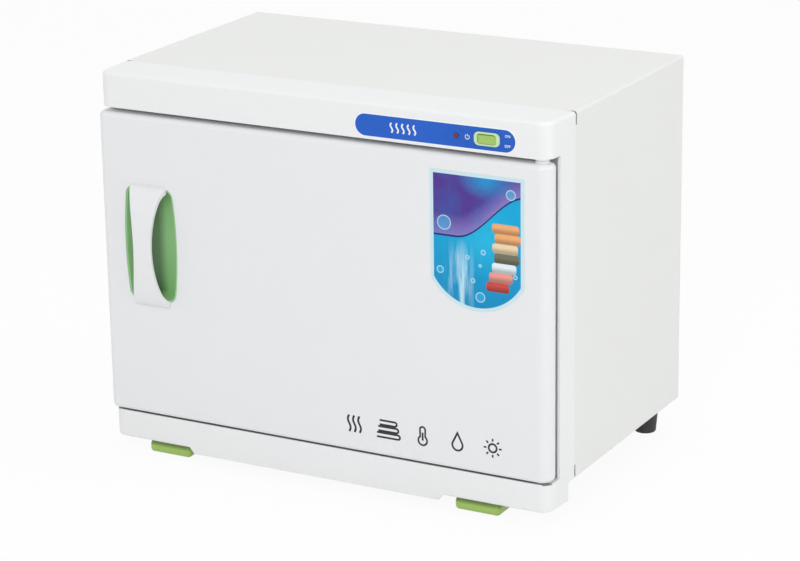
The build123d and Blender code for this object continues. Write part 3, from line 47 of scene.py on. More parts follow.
door_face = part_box("door_sticker")[1].y
label_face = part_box("control_label")[0].y


class Surface:
    """A procedural material, built node by node on the piece's own coordinates."""

    def __init__(self, name):
        self.material = bpy.data.materials.new(name)
        self.material.use_nodes = True
        self.tree = self.material.node_tree
        self.shader = self.tree.nodes["Principled BSDF"]
        self.place = self.node("ShaderNodeTexCoord").outputs["Object"]
        self.normal = None

    def node(self, kind, **settings):
        made = self.tree.nodes.new(kind)
        for key, value in settings.items():
            setattr(made, key, value)
        return made

    def put(self, socket, value):
        """Links a socket to another, or sets it to a constant."""
        if isinstance(value, bpy.types.NodeSocket):
            self.tree.links.new(value, socket)
        elif isinstance(value, tuple) and len(value) == 3 and socket.type == "RGBA":
            socket.default_value = (*value, 1)
        else:
            socket.default_value = value

    def math(self, operation, a, b=0.0):
        made = self.node("ShaderNodeMath", operation=operation)
        self.put(made.inputs[0], a)
        self.put(made.inputs[1], b)
        return made.outputs[0]

    def axes(self):
        split = self.node("ShaderNodeSeparateXYZ")
        self.put(split.inputs[0], self.place)
        return tuple(split.outputs)

    def stretched(self, scale):
        made = self.node("ShaderNodeMapping")
        self.put(made.inputs["Vector"], self.place)
        made.inputs["Scale"].default_value = scale
        return made.outputs[0]

    def noise(self, scale, detail=3.0, rough=0.5, stretch=None):
        made = self.node("ShaderNodeTexNoise")
        self.put(made.inputs["Vector"], self.stretched(stretch) if stretch else self.place)
        made.inputs["Scale"].default_value = scale
        made.inputs["Detail"].default_value = detail
        made.inputs["Roughness"].default_value = rough
        return made.outputs["Fac"]

    def cells(self, scale):
        made = self.node("ShaderNodeTexVoronoi")
        self.put(made.inputs["Vector"], self.place)
        made.inputs["Scale"].default_value = scale
        return made

    def between(self, value, low, high, to_low=0.0, to_high=1.0):
        """Maps low..high to to_low..to_high and clamps what lies outside."""
        made = self.node("ShaderNodeMapRange", clamp=True)
        limits = {"From Min": low, "From Max": high, "To Min": to_low, "To Max": to_high}
        for key, number in limits.items():
            made.inputs[key].default_value = number
        self.put(made.inputs["Value"], value)
        return made.outputs[0]

    def inside(self, value, low, high, soft=0.3 * MM):
        """1 where the value lies between two limits, 0 elsewhere, with soft ends."""
        rise = self.between(value, low, low + soft)
        fall = self.between(value, high - soft, high, 1, 0)
        return self.math("MULTIPLY", rise, fall)

    def length(self, a, b):
        squares = self.math("ADD", self.math("MULTIPLY", a, a), self.math("MULTIPLY", b, b))
        return self.math("SQRT", squares)

    def mix(self, factor, a, b):
        made = self.node("ShaderNodeMix", data_type="RGBA")
        self.put(made.inputs["Factor"], factor)
        self.put(made.inputs["A"], a)
        self.put(made.inputs["B"], b)
        return made.outputs["Result"]

    def bump(self, height, distance):
        made = self.node("ShaderNodeBump")
        made.inputs["Distance"].default_value = distance
        made.inputs["Strength"].default_value = 1.0
        self.put(made.inputs["Height"], height)
        if self.normal:
            self.put(made.inputs["Normal"], self.normal)
        self.normal = made.outputs[0]

    def soft_edges(self, radius):
        made = self.node("ShaderNodeBevel")
        made.samples = 6
        made.inputs["Radius"].default_value = radius
        self.normal = made.outputs[0]

    def done(self, colour, roughness, metallic=0.0, **more):
        self.put(self.shader.inputs["Base Color"], colour)
        self.put(self.shader.inputs["Roughness"], roughness)
        self.put(self.shader.inputs["Metallic"], metallic)
        for key, value in more.items():
            self.put(self.shader.inputs[key.replace("_", " ")], value)
        if self.normal:
            self.put(self.shader.inputs["Normal"], self.normal)
        return self.material


def shade(colour, factor):
    return tuple(min(1.0, c * factor) for c in colour)


# Kinds of surface


def moulded(name, colour, gloss=0.34, edge=0.4 * MM, tone=None, **more):
    """Moulded plastic: a faint flow mottle, a fine skin and softened edges."""
    skin = 0.012 * MM
    spread = 0.006
    s = Surface(name)
    s.soft_edges(edge)
    flow = s.noise(14, 5, 0.6)
    s.bump(s.noise(1400, 2, 0.5), skin)
    s.bump(s.noise(160, 2, 0.5), skin)
    tint = s.mix(flow, shade(colour, 1 - spread), shade(colour, 1 + spread))
    if tone:
        tint = tone(s, tint)
    rough = s.between(s.noise(90, 3), 0, 1, gloss - 0.03, gloss + 0.03)
    return s.done(tint, rough, **more)


def coated(name, colour, gloss=0.42, tone=None):
    """Powder-coated sheet: orange-peel skin over a flat panel."""
    s = Surface(name)
    s.soft_edges(0.5 * MM)
    s.bump(s.noise(420, 2, 0.45), 0.04 * MM)
    s.bump(s.noise(120, 2, 0.5), 0.03 * MM)
    speck = s.between(s.noise(2600, 1, 0.4), 0.62, 0.74)
    tint = s.mix(s.noise(8, 4), shade(colour, 0.993), shade(colour, 1.007))
    tint = s.mix(s.math("MULTIPLY", speck, 0.05), tint, shade(colour, 0.8))
    if tone:
        tint = tone(s, tint)
    return s.done(tint, s.between(s.noise(420, 2), 0.3, 0.7, gloss - 0.05, gloss + 0.07))


def sheet_metal(name, colour, along, gloss=0.3):
    """Rolled or brushed sheet with its grain along one axis."""
    s = Surface(name)
    s.soft_edges(0.25 * MM)
    grain = s.noise(28, 5, 0.6, stretch=along)
    s.bump(grain, 0.01 * MM)
    tint = s.mix(s.between(grain, 0.25, 0.75), shade(colour, 0.9), shade(colour, 1.06))
    tint = s.mix(s.between(s.noise(14, 3), 0.45, 0.8, 0, 0.25), tint, shade(colour, 0.82))
    return s.done(tint, s.between(grain, 0.2, 0.8, gloss - 0.07, gloss + 0.12), 1.0)


def spangled(name, colour):
    """Galvanised sheet with its crystal spangle."""
    s = Surface(name)
    s.soft_edges(0.3 * MM)
    cell = s.between(s.cells(110).outputs["Color"], 0, 1)
    flake = s.math("FRACT", s.math("MULTIPLY", cell, 7.0))
    tint = s.mix(s.between(flake, 0, 1), shade(colour, 0.86), shade(colour, 1.1))
    return s.done(tint, s.between(flake, 0, 1, 0.34, 0.52), 1.0)


def plated(name, colour, gloss=0.14, wear=0.08):
    """Bright plating with faint haze and pits."""
    s = Surface(name)
    haze = s.noise(90, 4, 0.6)
    s.bump(s.noise(700, 2), 0.006 * MM)
    tint = s.mix(s.between(haze, 0.5, 0.8, 0, wear * 4), colour, shade(colour, 0.8))
    return s.done(tint, s.between(haze, 0.35, 0.75, gloss, gloss + wear), 1.0)


def fibrous(name, colour, dark):
    """Glass wool: crossed fibres and soft clumps."""
    s = Surface(name)
    strands = s.noise(70, 6, 0.75, stretch=(1, 6, 6))
    clumps = s.noise(24, 4, 0.6)
    s.bump(strands, 1.2 * MM)
    s.bump(clumps, 3 * MM)
    return s.done(s.mix(s.between(strands, 0.35, 0.65), dark, colour), 0.95)


def foamed(name, colour):
    """Cut foam with open cells."""
    s = Surface(name)
    from_cell = s.cells(900).outputs["Distance"]
    s.bump(from_cell, 0.4 * MM)
    return s.done(s.mix(s.between(from_cell, 0.0, 0.6), shade(colour, 0.75), colour), 0.9)


def rubbery(name, colour, gloss=0.62, grain=0.06 * MM):
    """Rubber, silicone or mica: a fine grain and a little dust."""
    s = Surface(name)
    s.soft_edges(0.5 * MM)
    s.bump(s.noise(900, 3, 0.6), grain)
    dust = s.between(s.noise(45, 5, 0.65), 0.5, 0.75, 0, 0.35)
    tint = s.mix(dust, colour, tuple(min(1.0, c * 1.5 + 0.02) for c in colour))
    return s.done(tint, s.between(s.noise(200, 3), 0.3, 0.7, gloss - 0.06, gloss + 0.1))


def ink(name, colour):
    """Printed ink, slightly uneven."""
    s = Surface(name)
    tint = s.mix(s.between(s.noise(400, 2), 0.3, 0.7), shade(colour, 0.93), shade(colour, 1.05))
    s.bump(s.noise(1500, 2), 0.004 * MM)
    return s.done(tint, s.between(s.noise(300), 0.3, 0.7, 0.3, 0.4))


# Painted shade and light, each laid over a surface's own tint


def recess_painted_shade_and_light(s, tint):
    """Painted shade and light: the grip's bowl, deepest behind the strap, is darkened there as if
    in the strap's shadow and lightened towards its sides.
    """
    low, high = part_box("handle_cup")
    darkest = (low.x + high.x) / 2 - 8 * MM
    away = s.math("ABSOLUTE", s.math("SUBTRACT", s.axes()[0], darkest))
    even = 14.5 * MM
    # Painted shade: the strap's shadow in the middle of the bowl
    tint = s.mix(s.between(away, 6 * MM, even, 0.62, 0), tint, (0.012, 0.03, 0.008))
    # Painted light: the bowl's sides made lighter
    return s.mix(s.between(away, even, 27 * MM, 0, 0.22), tint, (0.55, 0.86, 0.48))


def foot_painted_shade(s, tint):
    """Painted shade: the top of a foot is darkened as if in the shade of the skirt."""
    shadow = s.between(s.axes()[2], 6.5 * MM, 9.5 * MM, 0, 0.6)
    return s.mix(shadow, tint, (0.02, 0.05, 0.01))


def ledge_painted_shade(s, tint):
    """Painted shade: a dark line on the strip's ledge, under the door's lower edge, that darkens
    the gap there.
    """
    y, z = s.axes()[1:]
    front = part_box("front_frame")[0].y
    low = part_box("door_shell")[0].z
    deep = s.inside(y, front + 0.9 * MM, front + 8 * MM)
    level = s.inside(z, low - 3.2 * MM, low - 1.0 * MM)
    line = s.math("MULTIPLY", deep, level)
    return s.mix(s.math("MULTIPLY", line, 0.75), tint, (0.05, 0.048, 0.045))


def seam_end_painted_shade(s, tint):
    """Painted shade: dark marks at the ends of the seam between the shell and the moulded front,
    where the corner reliefs lie in shadow.
    """
    x, y, z = s.axes()
    low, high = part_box("outer_shell")
    seam = s.inside(y, low.y - 1 * MM, low.y + 2.0 * MM)
    upper_end = s.inside(z, high.z - 11.5 * MM, high.z - 1.5 * MM)
    lower_end = s.inside(z, low.z + 1 * MM, low.z + 12 * MM)
    side = s.between(s.math("ABSOLUTE", x), high.x - 5.5 * MM, high.x - 5.0 * MM)
    top = s.between(z, high.z - 1.6 * MM, high.z - 1.5 * MM)
    ends = s.math("MAXIMUM", upper_end, lower_end)
    marks = s.math("MULTIPLY", seam, s.math("MAXIMUM", ends, s.math("MULTIPLY", side, top)))
    return s.mix(s.math("MULTIPLY", marks, 0.85), tint, (0.03, 0.03, 0.03))


paint = {
    "front_frame": moulded("white_moulding", (0.84, 0.848, 0.852), tone=ledge_painted_shade),
    "door_shell": moulded("door_white", (0.80, 0.812, 0.825), gloss=0.3),
    "door_inner_panel": moulded("panel_white", (0.78, 0.785, 0.78), gloss=0.38),
    "outer_shell": coated("white_powder_coat", (0.805, 0.818, 0.80), tone=seam_end_painted_shade),
    "back_panel": coated("back_powder_coat", (0.78, 0.786, 0.778), gloss=0.5),
    "base_plate": spangled("galvanised_sheet", (0.55, 0.56, 0.57)),
    "inner_liner": sheet_metal("liner_aluminium", (0.76, 0.77, 0.78), (1, 50, 50), gloss=0.32),
    "drip_tray": sheet_metal("tray_aluminium", (0.78, 0.79, 0.80), (1, 50, 50), gloss=0.26),
    "heater_clamp": sheet_metal("clamp_aluminium", (0.72, 0.73, 0.74), (50, 1, 50)),
    "rack_rail_left": sheet_metal("rail_steel", (0.62, 0.62, 0.62), (50, 1, 50), gloss=0.28),
    "lamp_guard": sheet_metal("guard_steel", (0.66, 0.66, 0.67), (1, 50, 50), gloss=0.22),
    "strike_plate": sheet_metal("strike_steel", (0.6, 0.6, 0.6), (50, 50, 1), gloss=0.24),
    "hinge_pin_upper": plated("pin_steel", (0.6, 0.6, 0.6), gloss=0.2),
    "lower_rack": plated("chromed_wire", (0.74, 0.75, 0.76), gloss=0.1),
    "back_screws": plated("zinc_screws", (0.66, 0.66, 0.64), gloss=0.22, wear=0.15),
    "heater_plate": rubbery("mica", (0.33, 0.26, 0.16), gloss=0.5),
    "insulation_wrap": fibrous("glass_wool", (0.82, 0.76, 0.48), (0.5, 0.42, 0.2)),
    "door_insulation": foamed("white_foam", (0.86, 0.86, 0.84)),
    "handle_cup": moulded("green_recess", (0.27, 0.54, 0.225), gloss=0.4, tone=recess_painted_shade_and_light),
    "front_foot_left": moulded(
        "green_foot", (0.37, 0.56, 0.12), gloss=0.26, edge=0.8 * MM, tone=foot_painted_shade
    ),
    "power_rocker": moulded("green_rocker", (0.36, 0.56, 0.13), gloss=0.3),
    "switch_housing": moulded("pale_green_bezel", (0.55, 0.75, 0.43), gloss=0.28),
    "rear_foot_left": rubbery("black_rubber", (0.03, 0.03, 0.032)),
    "door_gasket": rubbery("grey_silicone", (0.60, 0.61, 0.61), gloss=0.5, grain=0.02 * MM),
    "hinge_bush_upper": moulded("white_nylon", (0.78, 0.78, 0.75), gloss=0.42),
    "cord_bush": moulded("black_nylon", (0.03, 0.03, 0.032), gloss=0.45),
    "thermal_fuse": sheet_metal("fuse_case", (0.7, 0.7, 0.7), (50, 1, 50)),
    "lamp_ballast": coated("ballast_case", (0.62, 0.63, 0.65)),
    "indicator_lens": moulded(
        "red_lens", (0.16, 0.02, 0.05), gloss=0.2, Transmission_Weight=0.2
    ),
}

# Nodes that share another node's material
shared = {
    "rear_insulation": "insulation_wrap",
    "rack_rail_right": "rack_rail_left",
    "upper_rack": "lower_rack",
    "hinge_pin_lower": "hinge_pin_upper",
    "panel_screws": "back_screws",
    "foot_screws": "back_screws",
    "front_foot_right": "front_foot_left",
    "rear_foot_right": "rear_foot_left",
    "hinge_bush_lower": "hinge_bush_upper",
    "lamp_holder_left": "hinge_bush_upper",
    "lamp_holder_right": "hinge_bush_upper",
    "terminal_block": "hinge_bush_upper",
    "interlock_plunger": "hinge_bush_upper",
    "interlock_switch": "cord_bush",
    "magnet_catch": "cord_bush",
    "thermostat": "cord_bush",
}


def lamp_glass():
    """A coated tube, darker towards its ends, with metal end caps."""
    cap_length, dark_length = 13 * MM, 30 * MM
    s = Surface("lamp_tube")
    low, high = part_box("uv_lamp")
    half = (high.x - low.x) / 2
    side = s.math("ABSOLUTE", s.axes()[0])
    cap = s.between(side, half - cap_length, half - cap_length + 0.1 * MM)
    tube = s.mix(s.between(s.noise(40, 3), 0.3, 0.7), (0.72, 0.78, 0.90), (0.80, 0.85, 0.94))
    end = s.between(side, half - dark_length, half - cap_length)
    tube = s.mix(s.math("MULTIPLY", end, 0.5), tube, (0.35, 0.36, 0.42))
    colour = s.mix(cap, tube, (0.70, 0.70, 0.71))
    return s.done(colour, s.between(cap, 0, 1, 0.06, 0.3), cap, Coat_Weight=0.6)


# Films on the front, drawn in millimetres


def film_coordinates(s, origin_x, origin_z):
    """Sockets for the millimetres right of and above a point on the front."""
    x, _, z = s.axes()
    across = s.math("DIVIDE", s.math("SUBTRACT", x, origin_x), MM)
    up = s.math("DIVIDE", s.math("SUBTRACT", z, origin_z), MM)
    return across, up


def label_film():
    """Blue film with a white edge and round ends."""
    low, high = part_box("control_label")
    radius = (high.z - low.z) / 2 / MM
    straight = (high.x - low.x) / 2 / MM - radius
    s = Surface("blue_film")
    across, up = film_coordinates(s, (low.x + high.x) / 2, (low.z + high.z) / 2)
    past = s.math("SUBTRACT", s.math("ABSOLUTE", across), straight)
    out = s.length(s.math("MAXIMUM", past, 0.0), up)
    edge = s.between(out, radius - 0.95, radius - 0.8)
    blue = s.mix(s.between(s.noise(20, 3), 0.3, 0.7), (0.008, 0.098, 0.50), (0.012, 0.11, 0.56))
    dots = s.between(s.cells(2400).outputs["Distance"], 0.2, 0.8, 0, 0.06)
    blue = s.mix(dots, blue, (0.05, 0.2, 0.75))
    s.bump(s.noise(500, 2), 0.01 * MM)
    colour = s.mix(edge, blue, (0.91, 0.92, 0.93))
    rough = s.between(s.noise(60), 0.3, 0.7, 0.3, 0.4)
    return s.done(colour, rough, Specular_IOR_Level=0.3)


def bar_of(s, across, up, centre, half_size, corner):
    """1 inside a bar with rounded corners."""
    past = []
    for value, middle, half in zip((across, up), centre, half_size):
        away = s.math("ABSOLUTE", s.math("SUBTRACT", value, middle))
        past.append(s.math("MAXIMUM", s.math("SUBTRACT", away, half - corner), 0.0))
    return s.between(s.length(*past), corner - 0.2, corner + 0.2, 1, 0)


def sticker_film():
    """A generic print: a violet wave over blue, bubbles, streaks of light and a towel stack."""
    low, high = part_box("door_sticker")
    half = (high.x - low.x) / 2 / MM
    tall = (high.z - low.z) / MM
    s = Surface("sticker_film")
    across, up = film_coordinates(s, (low.x + high.x) / 2, high.z)

    def distance_to(right, height, squash=1.0):
        rise = s.math("MULTIPLY", s.math("SUBTRACT", up, height), squash)
        return s.length(s.math("SUBTRACT", across, right), rise)

    # A pale border, round at the foot
    rim, fade = 3.3, 0.2
    sagitta = 25.4
    radius = (half**2 + sagitta**2) / (2 * sagitta)
    below = s.math("LESS_THAN", up, radius - tall)
    arc_edge = s.between(distance_to(0.0, radius - tall), radius - rim, radius - rim + fade)
    arc_edge = s.math("MULTIPLY", arc_edge, below)
    side_edge = s.between(s.math("ABSOLUTE", across), half - rim, half - rim + fade)
    top_edge = s.between(up, -rim, -rim + fade)
    border = s.math("MAXIMUM", s.math("MAXIMUM", arc_edge, side_edge), top_edge)

    picture = s.mix(s.between(up, -tall, -40), (0.001, 0.25, 0.52), (0.001, 0.38, 0.69))
    glow = s.between(distance_to(8.0, -58.0), 2, 34, 0.6, 0)
    picture = s.mix(glow, picture, (0.02, 0.54, 0.80))

    # Streaks of light, low on the left
    streaks = s.between(s.noise(150, 3, 0.6, stretch=(1, 1, 0.1)), 0.42, 0.66, 0, 0.75)
    streaks = s.math("MULTIPLY", streaks, s.inside(across, -33, -2, 9))
    streaks = s.math("MULTIPLY", streaks, s.between(up, -82, -58, 1, 0))
    picture = s.mix(streaks, picture, (0.62, 0.88, 0.95))

    # A leaning stack of folded towels, from the top down
    peach, cream, olive = (0.87, 0.42, 0.17), (0.84, 0.66, 0.42), (0.17, 0.17, 0.11)
    pale, pink, red = (0.78, 0.86, 0.90), (0.83, 0.33, 0.27), (0.58, 0.07, 0.06)
    colours = (peach, peach, cream, olive, pale, pink, red)
    middles = (27, 29, 26.5, 28, 25.5, 22.5, 19.5)
    for level, (middle, tone) in enumerate(zip(middles, colours)):
        height = -45.5 - 8.6 * level
        towel = bar_of(s, across, up, (middle, height), (12.6 - 0.3 * level, 4.3), 2.6)
        fold = s.between(up, height - 2.4, height + 1.2)
        picture = s.mix(towel, picture, s.mix(fold, shade(tone, 0.55), tone))

    # The wave across the top, with a dark rim
    swell = s.math("SINE", s.between(across, -20, 47, -math.pi / 2, math.pi / 2))
    crest = s.math("ADD", s.math("MULTIPLY", swell, 20.5), -36.5)
    rise = s.math("SUBTRACT", up, crest)
    violet = s.mix(s.between(rise, 0, 20), (0.24, 0.20, 0.55), (0.075, 0.035, 0.27))
    shine = s.between(distance_to(9.0, -5.0, squash=1.6), 3, 28, 0.9, 0)
    violet = s.mix(shine, violet, (0.005, 0.30, 0.66))
    cloud = s.between(s.noise(36, 4, 0.6), 0.45, 0.75, 0, 0.4)
    violet = s.mix(cloud, violet, (0.01, 0.16, 0.52))
    picture = s.mix(s.between(rise, -0.3, 0.3), picture, violet)
    picture = s.mix(s.inside(rise, -1.0, 1.0, 0.4), picture, (0.008, 0.014, 0.14))

    # Bubbles: how far right of the middle, how far up from the top, and the radius
    for right, height, size in (
        (-31.0, -46.0, 6.6), (32.0, -15.0, 4.6), (-9.0, -74.0, 2.0),
        (3.0, -80.0, 1.5), (6.0, -68.0, 2.4), (-35.0, -88.0, 3.4),
        (3.0, -108.0, 4.6), (-4.0, -94.0, 2.2), (36.0, -86.0, 2.0),
    ):
        distance = distance_to(right, height)
        body = s.between(distance, size - 0.2, size + 0.2, 0.45, 0)
        picture = s.mix(body, picture, (0.04, 0.50, 0.80))
        ring = s.inside(distance, size - 1.1, size + 0.2, 0.4)
        picture = s.mix(s.math("MULTIPLY", ring, 0.6), picture, (0.66, 0.86, 0.95))

    s.bump(s.noise(300, 2), 0.01 * MM)
    colour = s.mix(border, picture, (0.60, 0.77, 0.83))
    rough = s.between(s.noise(80), 0.3, 0.7, 0.25, 0.35)
    return s.done(colour, rough, Specular_IOR_Level=0.25)


paint["uv_lamp"] = lamp_glass()
paint["control_label"] = label_film()
paint["door_sticker"] = sticker_film()

for name, node in nodes.items():
    node.data.materials.clear()
    node.data.materials.append(paint[shared.get(name, name)])


# Meshes


def new_object(name, mesh):
    made = bpy.data.objects.new(name, mesh)
    bpy.context.scene.collection.objects.link(made)
    return made


def finished_mesh(thing):
    """The mesh of an object after its modifiers, or of a curve."""
    bpy.context.view_layer.update()
    settled = thing.evaluated_get(bpy.context.evaluated_depsgraph_get())
    return bpy.data.meshes.new_from_object(settled)


def tidied(mesh):
    """Drops walls between neighbours, joins vertices in one place, turns faces outwards."""
    work = bmesh.new()
    work.from_mesh(mesh)
    same = {}
    for face in work.faces:
        same.setdefault(frozenset(tuple(corner.co) for corner in face.verts), []).append(face)
    walls = [face for group in same.values() if len(group) > 1 for face in group]
    bmesh.ops.delete(work, geom=walls, context="FACES")
    bmesh.ops.remove_doubles(work, verts=work.verts, dist=0.002 * MM)
    bmesh.ops.recalc_face_normals(work, faces=work.faces)
    work.to_mesh(mesh)
    work.free()
    return mesh


# The door's moulding with its strap as a smooth arch, narrow in the middle and flared at its ends


def strap_mesh(face, middle_x, middle_z):
    """A closed arch over the grip opening: rings of points, from its lower end to its upper."""
    rise, reach = 16.0 * MM, 56.2 * MM
    inner_rise, inner_reach = 12.2 * MM, 49.5 * MM
    sink = 0.4 * MM
    power = 2 / 2.2
    waist, widening = 9.3, 0.00247
    flare, flare_from, flare_length = 1.4, 46, 11
    edge = 1.1 * MM
    steps = 56
    corner_points = 5
    vertices, faces = [], []
    for i in range(-1, steps + 2):
        turn = math.pi * (min(max(i, 0), steps) / steps - 0.5)
        up = math.copysign(abs(math.sin(turn)) ** power, turn)
        out = abs(math.cos(turn)) ** power if 0 < i < steps else 0.0
        drop = sink if i in (-1, steps + 1) else 0.0
        outer = Vector((0, face - rise * out + drop, middle_z + reach * up))
        inner = Vector((0, face - inner_rise * out + drop, middle_z + inner_reach * up))
        away = abs(reach * up) / MM
        flared = flare * max(0.0, (away - flare_from) / flare_length) ** 2
        half = (waist + widening * away**2 + flared) * MM
        through = (inner - outer).normalized()
        thick = (inner - outer).length
        for corner_x, corner_t, start in (
            (half - edge, edge, -90), (half - edge, thick - edge, 0),
            (edge - half, thick - edge, 90), (edge - half, edge, 180),
        ):
            for k in range(corner_points):
                bend = math.radians(start + 90 / (corner_points - 1) * k)
                sideways = Vector((middle_x + corner_x + edge * math.cos(bend), 0, 0))
                inwards = through * (corner_t + edge * math.sin(bend))
                vertices.append(outer + sideways + inwards)
    ring = 4 * corner_points
    rows = steps + 3
    for row in range(rows - 1):
        for k in range(ring):
            a, b = row * ring + k, row * ring + (k + 1) % ring
            faces.append((a, b, b + ring, a + ring))
    faces.append(tuple(reversed(range(ring))))
    faces.append(tuple(range((rows - 1) * ring, rows * ring)))
    mesh = bpy.data.meshes.new("strap")
    mesh.from_pydata(vertices, [], faces)
    return mesh


def block_mesh(size, centre):
    work = bmesh.new()
    bmesh.ops.create_cube(work, size=1.0)
    bmesh.ops.scale(work, vec=size, verts=work.verts)
    bmesh.ops.translate(work, vec=centre, verts=work.verts)
    mesh = bpy.data.meshes.new("block")
    work.to_mesh(mesh)
    work.free()
    return mesh


def door_body():
    """The CAD door shell with its plain strap cut off and the arch joined on."""
    grip_low, grip_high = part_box("handle_cup")
    middle_x = (grip_low.x + grip_high.x) / 2
    middle_z = (grip_low.z + grip_high.z) / 2 - 1.5 * MM
    wide, deep, tall = 70 * MM, 40 * MM, 150 * MM
    cut_from = door_face - 0.03 * MM
    block = block_mesh((wide, deep, tall), (middle_x, cut_from - deep / 2, middle_z))
    body = new_object("door_body", tidied(nodes["door_shell"].data.copy()))
    strap = new_object("strap_tool", tidied(strap_mesh(door_face, middle_x, middle_z)))
    cutter = new_object("cut_tool", block)
    for tool, operation in ((cutter, "DIFFERENCE"), (strap, "UNION")):
        boolean = body.modifiers.new(operation.lower(), "BOOLEAN")
        boolean.operation = operation
        boolean.solver = "EXACT"
        boolean.object = tool
    mesh = finished_mesh(body)
    for spare in (body, strap, cutter):
        bpy.data.objects.remove(spare)
    tidied(mesh)
    mesh.shade_smooth()
    mesh.set_sharp_from_angle(angle=math.radians(32))
    mesh.materials.clear()
    mesh.materials.append(paint["door_shell"])
    piece = new_object("door_body", mesh)
    weigh = piece.modifiers.new("weigh", "WEIGHTED_NORMAL")
    weigh.keep_sharp = True
    weigh.weight = 100
    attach(piece, "door")
    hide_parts("door_shell")


door_body()


# Prints on the front: strokes are lists of quads, in millimetres across and up


def stroke(points, width, closed=False):
    """A line of even width as quads with mitred joints."""
    count = len(points)
    sides = []
    for i in range(count):
        before = points[i - 1] if i or closed else points[0]
        after = points[(i + 1) % count] if i + 1 < count or closed else points[-1]
        a = Vector(points[i]) - Vector(before)
        b = Vector(after) - Vector(points[i])
        a = (a if a.length else b).normalized()
        b = (b if b.length else a).normalized()
        normal = Vector((-a.y - b.y, a.x + b.x))
        normal.normalize()
        reach = width / 2 / max(0.4, abs(normal.dot(Vector((-a.y, a.x)))))
        here = Vector(points[i])
        sides.append((here + normal * reach, here - normal * reach))
    quads = []
    for i in range(count if closed else count - 1):
        (left, right), (next_left, next_right) = sides[i], sides[(i + 1) % count]
        quads.append([tuple(p) for p in (left, right, next_right, next_left)])
    return quads


def arc(radius, start, end, steps=24, centre=(0.0, 0.0)):
    turns = [math.radians(start + (end - start) * i / steps) for i in range(steps + 1)]
    return [
        (centre[0] + radius * math.cos(turn), centre[1] + radius * math.sin(turn))
        for turn in turns
    ]


def wave(height, swing, steps=20):
    return [
        (swing * math.sin(2 * math.pi * i / steps), -height / 2 + height * i / steps)
        for i in range(steps + 1)
    ]


def shifted(quads, right):
    return [[(x + right, z) for x, z in quad] for quad in quads]


def ink_piece(name, quads, body, material, at):
    """Quads about a point on the front, as closed ink raised a little towards -Y."""
    vertices, faces = [], []
    for quad in quads:
        start = len(vertices)
        count = len(quad)
        for y in (0.0, -INK_DEPTH):
            vertices += [(at[0] + x * MM, at[1] + y, at[2] + z * MM) for x, z in quad]
        faces.append([start + i for i in range(count)][::-1])
        faces.append([start + count + i for i in range(count)])
        for i in range(count):
            j = (i + 1) % count
            faces.append([start + i, start + j, start + count + j, start + count + i])
    mesh = bpy.data.meshes.new(name)
    mesh.from_pydata(vertices, [], faces)
    tidied(mesh)
    piece = new_object(name, mesh)
    mesh.materials.append(material)
    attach(piece, body)


def lettering(name, text, size, at, body, material):
    """Built-in lettering, turned to face the front."""
    words = bpy.data.curves.new(name, "FONT")
    words.body = text
    words.size = size
    words.align_x, words.align_y = "CENTER", "CENTER"
    words.extrude = INK_DEPTH / 2
    words.offset = size * 0.012
    maker = new_object(name + "_curve", words)
    mesh = finished_mesh(maker)
    bpy.data.objects.remove(maker)
    mesh.transform(Matrix.Translation(at) @ Matrix.Rotation(math.pi / 2, 4, "X"))
    mesh.materials.clear()
    mesh.materials.append(material)
    piece = new_object(name, mesh)
    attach(piece, body)


white_ink = ink("white_ink", (0.85, 0.87, 0.9))
black_ink = ink("black_ink", (0.012, 0.012, 0.014))

# On the label: a power symbol, heat strokes, and the switch's two marks
switch_low, switch_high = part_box("switch_housing")
switch_x = (switch_low.x + switch_high.x) / 2
switch_z = (switch_low.z + switch_high.z) / 2

power_width = 0.62
power_mark = stroke(arc(1.9, 125, 415), power_width) + stroke([(0, 0.5), (0, 2.5)], power_width)
power_at = (switch_x - 18.5 * MM, label_face, switch_z)
ink_piece("power_mark", power_mark, "cabinet", white_ink, power_at)

heat_mark = []
for column in (-11.0, -5.5, 0.0, 5.5, 11.0):
    heat_mark += shifted(stroke(wave(8.6, 1.0), 1.5), column)
heat_at = (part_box("control_label")[0].x + 47 * MM, label_face, switch_z)
ink_piece("heat_mark", heat_mark, "cabinet", white_ink, heat_at)

text_x = switch_x + 19.0 * MM
text_y = label_face - INK_DEPTH / 2
text_rise = 4.3 * MM
text_size = 3.2 * MM
on_at = (text_x, text_y, switch_z + text_rise)
off_at = (text_x, text_y, switch_z - text_rise)
lettering("on_print", "ON", text_size, on_at, "cabinet", white_ink)
lettering("off_print", "OFF", text_size, off_at, "cabinet", white_ink)

# Low on the door, pictograms: steam, folded towels, a thermometer, a drop and a lamp
line = 1.8
pitch = 34.0
steam = []
for column in (-5.2, 0.0, 5.2):
    steam += shifted(stroke(wave(15.5, 1.3), 2.0), column)
towels = []
for level, reach in ((-5.8, 11.5), (0.0, 10.0), (5.8, 8.5)):
    lower_side = [(-reach, level - 2.0), (reach - 2.0, level - 2.0)]
    fold = arc(2.0, -90, 90, 8, (reach - 2.0, level))
    towels += stroke(lower_side + fold + [(-reach, level + 2.0)], line)
tube = arc(2.6, 0, 180, 10, (0, 5.6)) + arc(4.3, 125, 415, 24, (0, -4.4))
thermometer = stroke(tube, 1.7, closed=True) + stroke([(0, -4.4), (0, 3.0)], line)
drop = stroke(arc(5.0, -215, 35, 24, (0, -2.8)) + [(0.0, 8.2)], line, closed=True)
lamp = stroke(arc(3.8, 0, 360, 24)[:-1], line, closed=True)
for k in range(8):
    way = math.radians(45 * k)
    lamp += stroke([(r * math.cos(way), r * math.sin(way)) for r in (6.0, 8.6)], 1.6)
pictograms = []
for k, mark in enumerate((steam, towels, thermometer, drop, lamp)):
    pictograms += shifted(mark, (k - 2) * pitch)
ink_piece("function_marks", pictograms, "door", black_ink, (0.103, door_face, 0.0685))


# Camera, floor, lamps and world


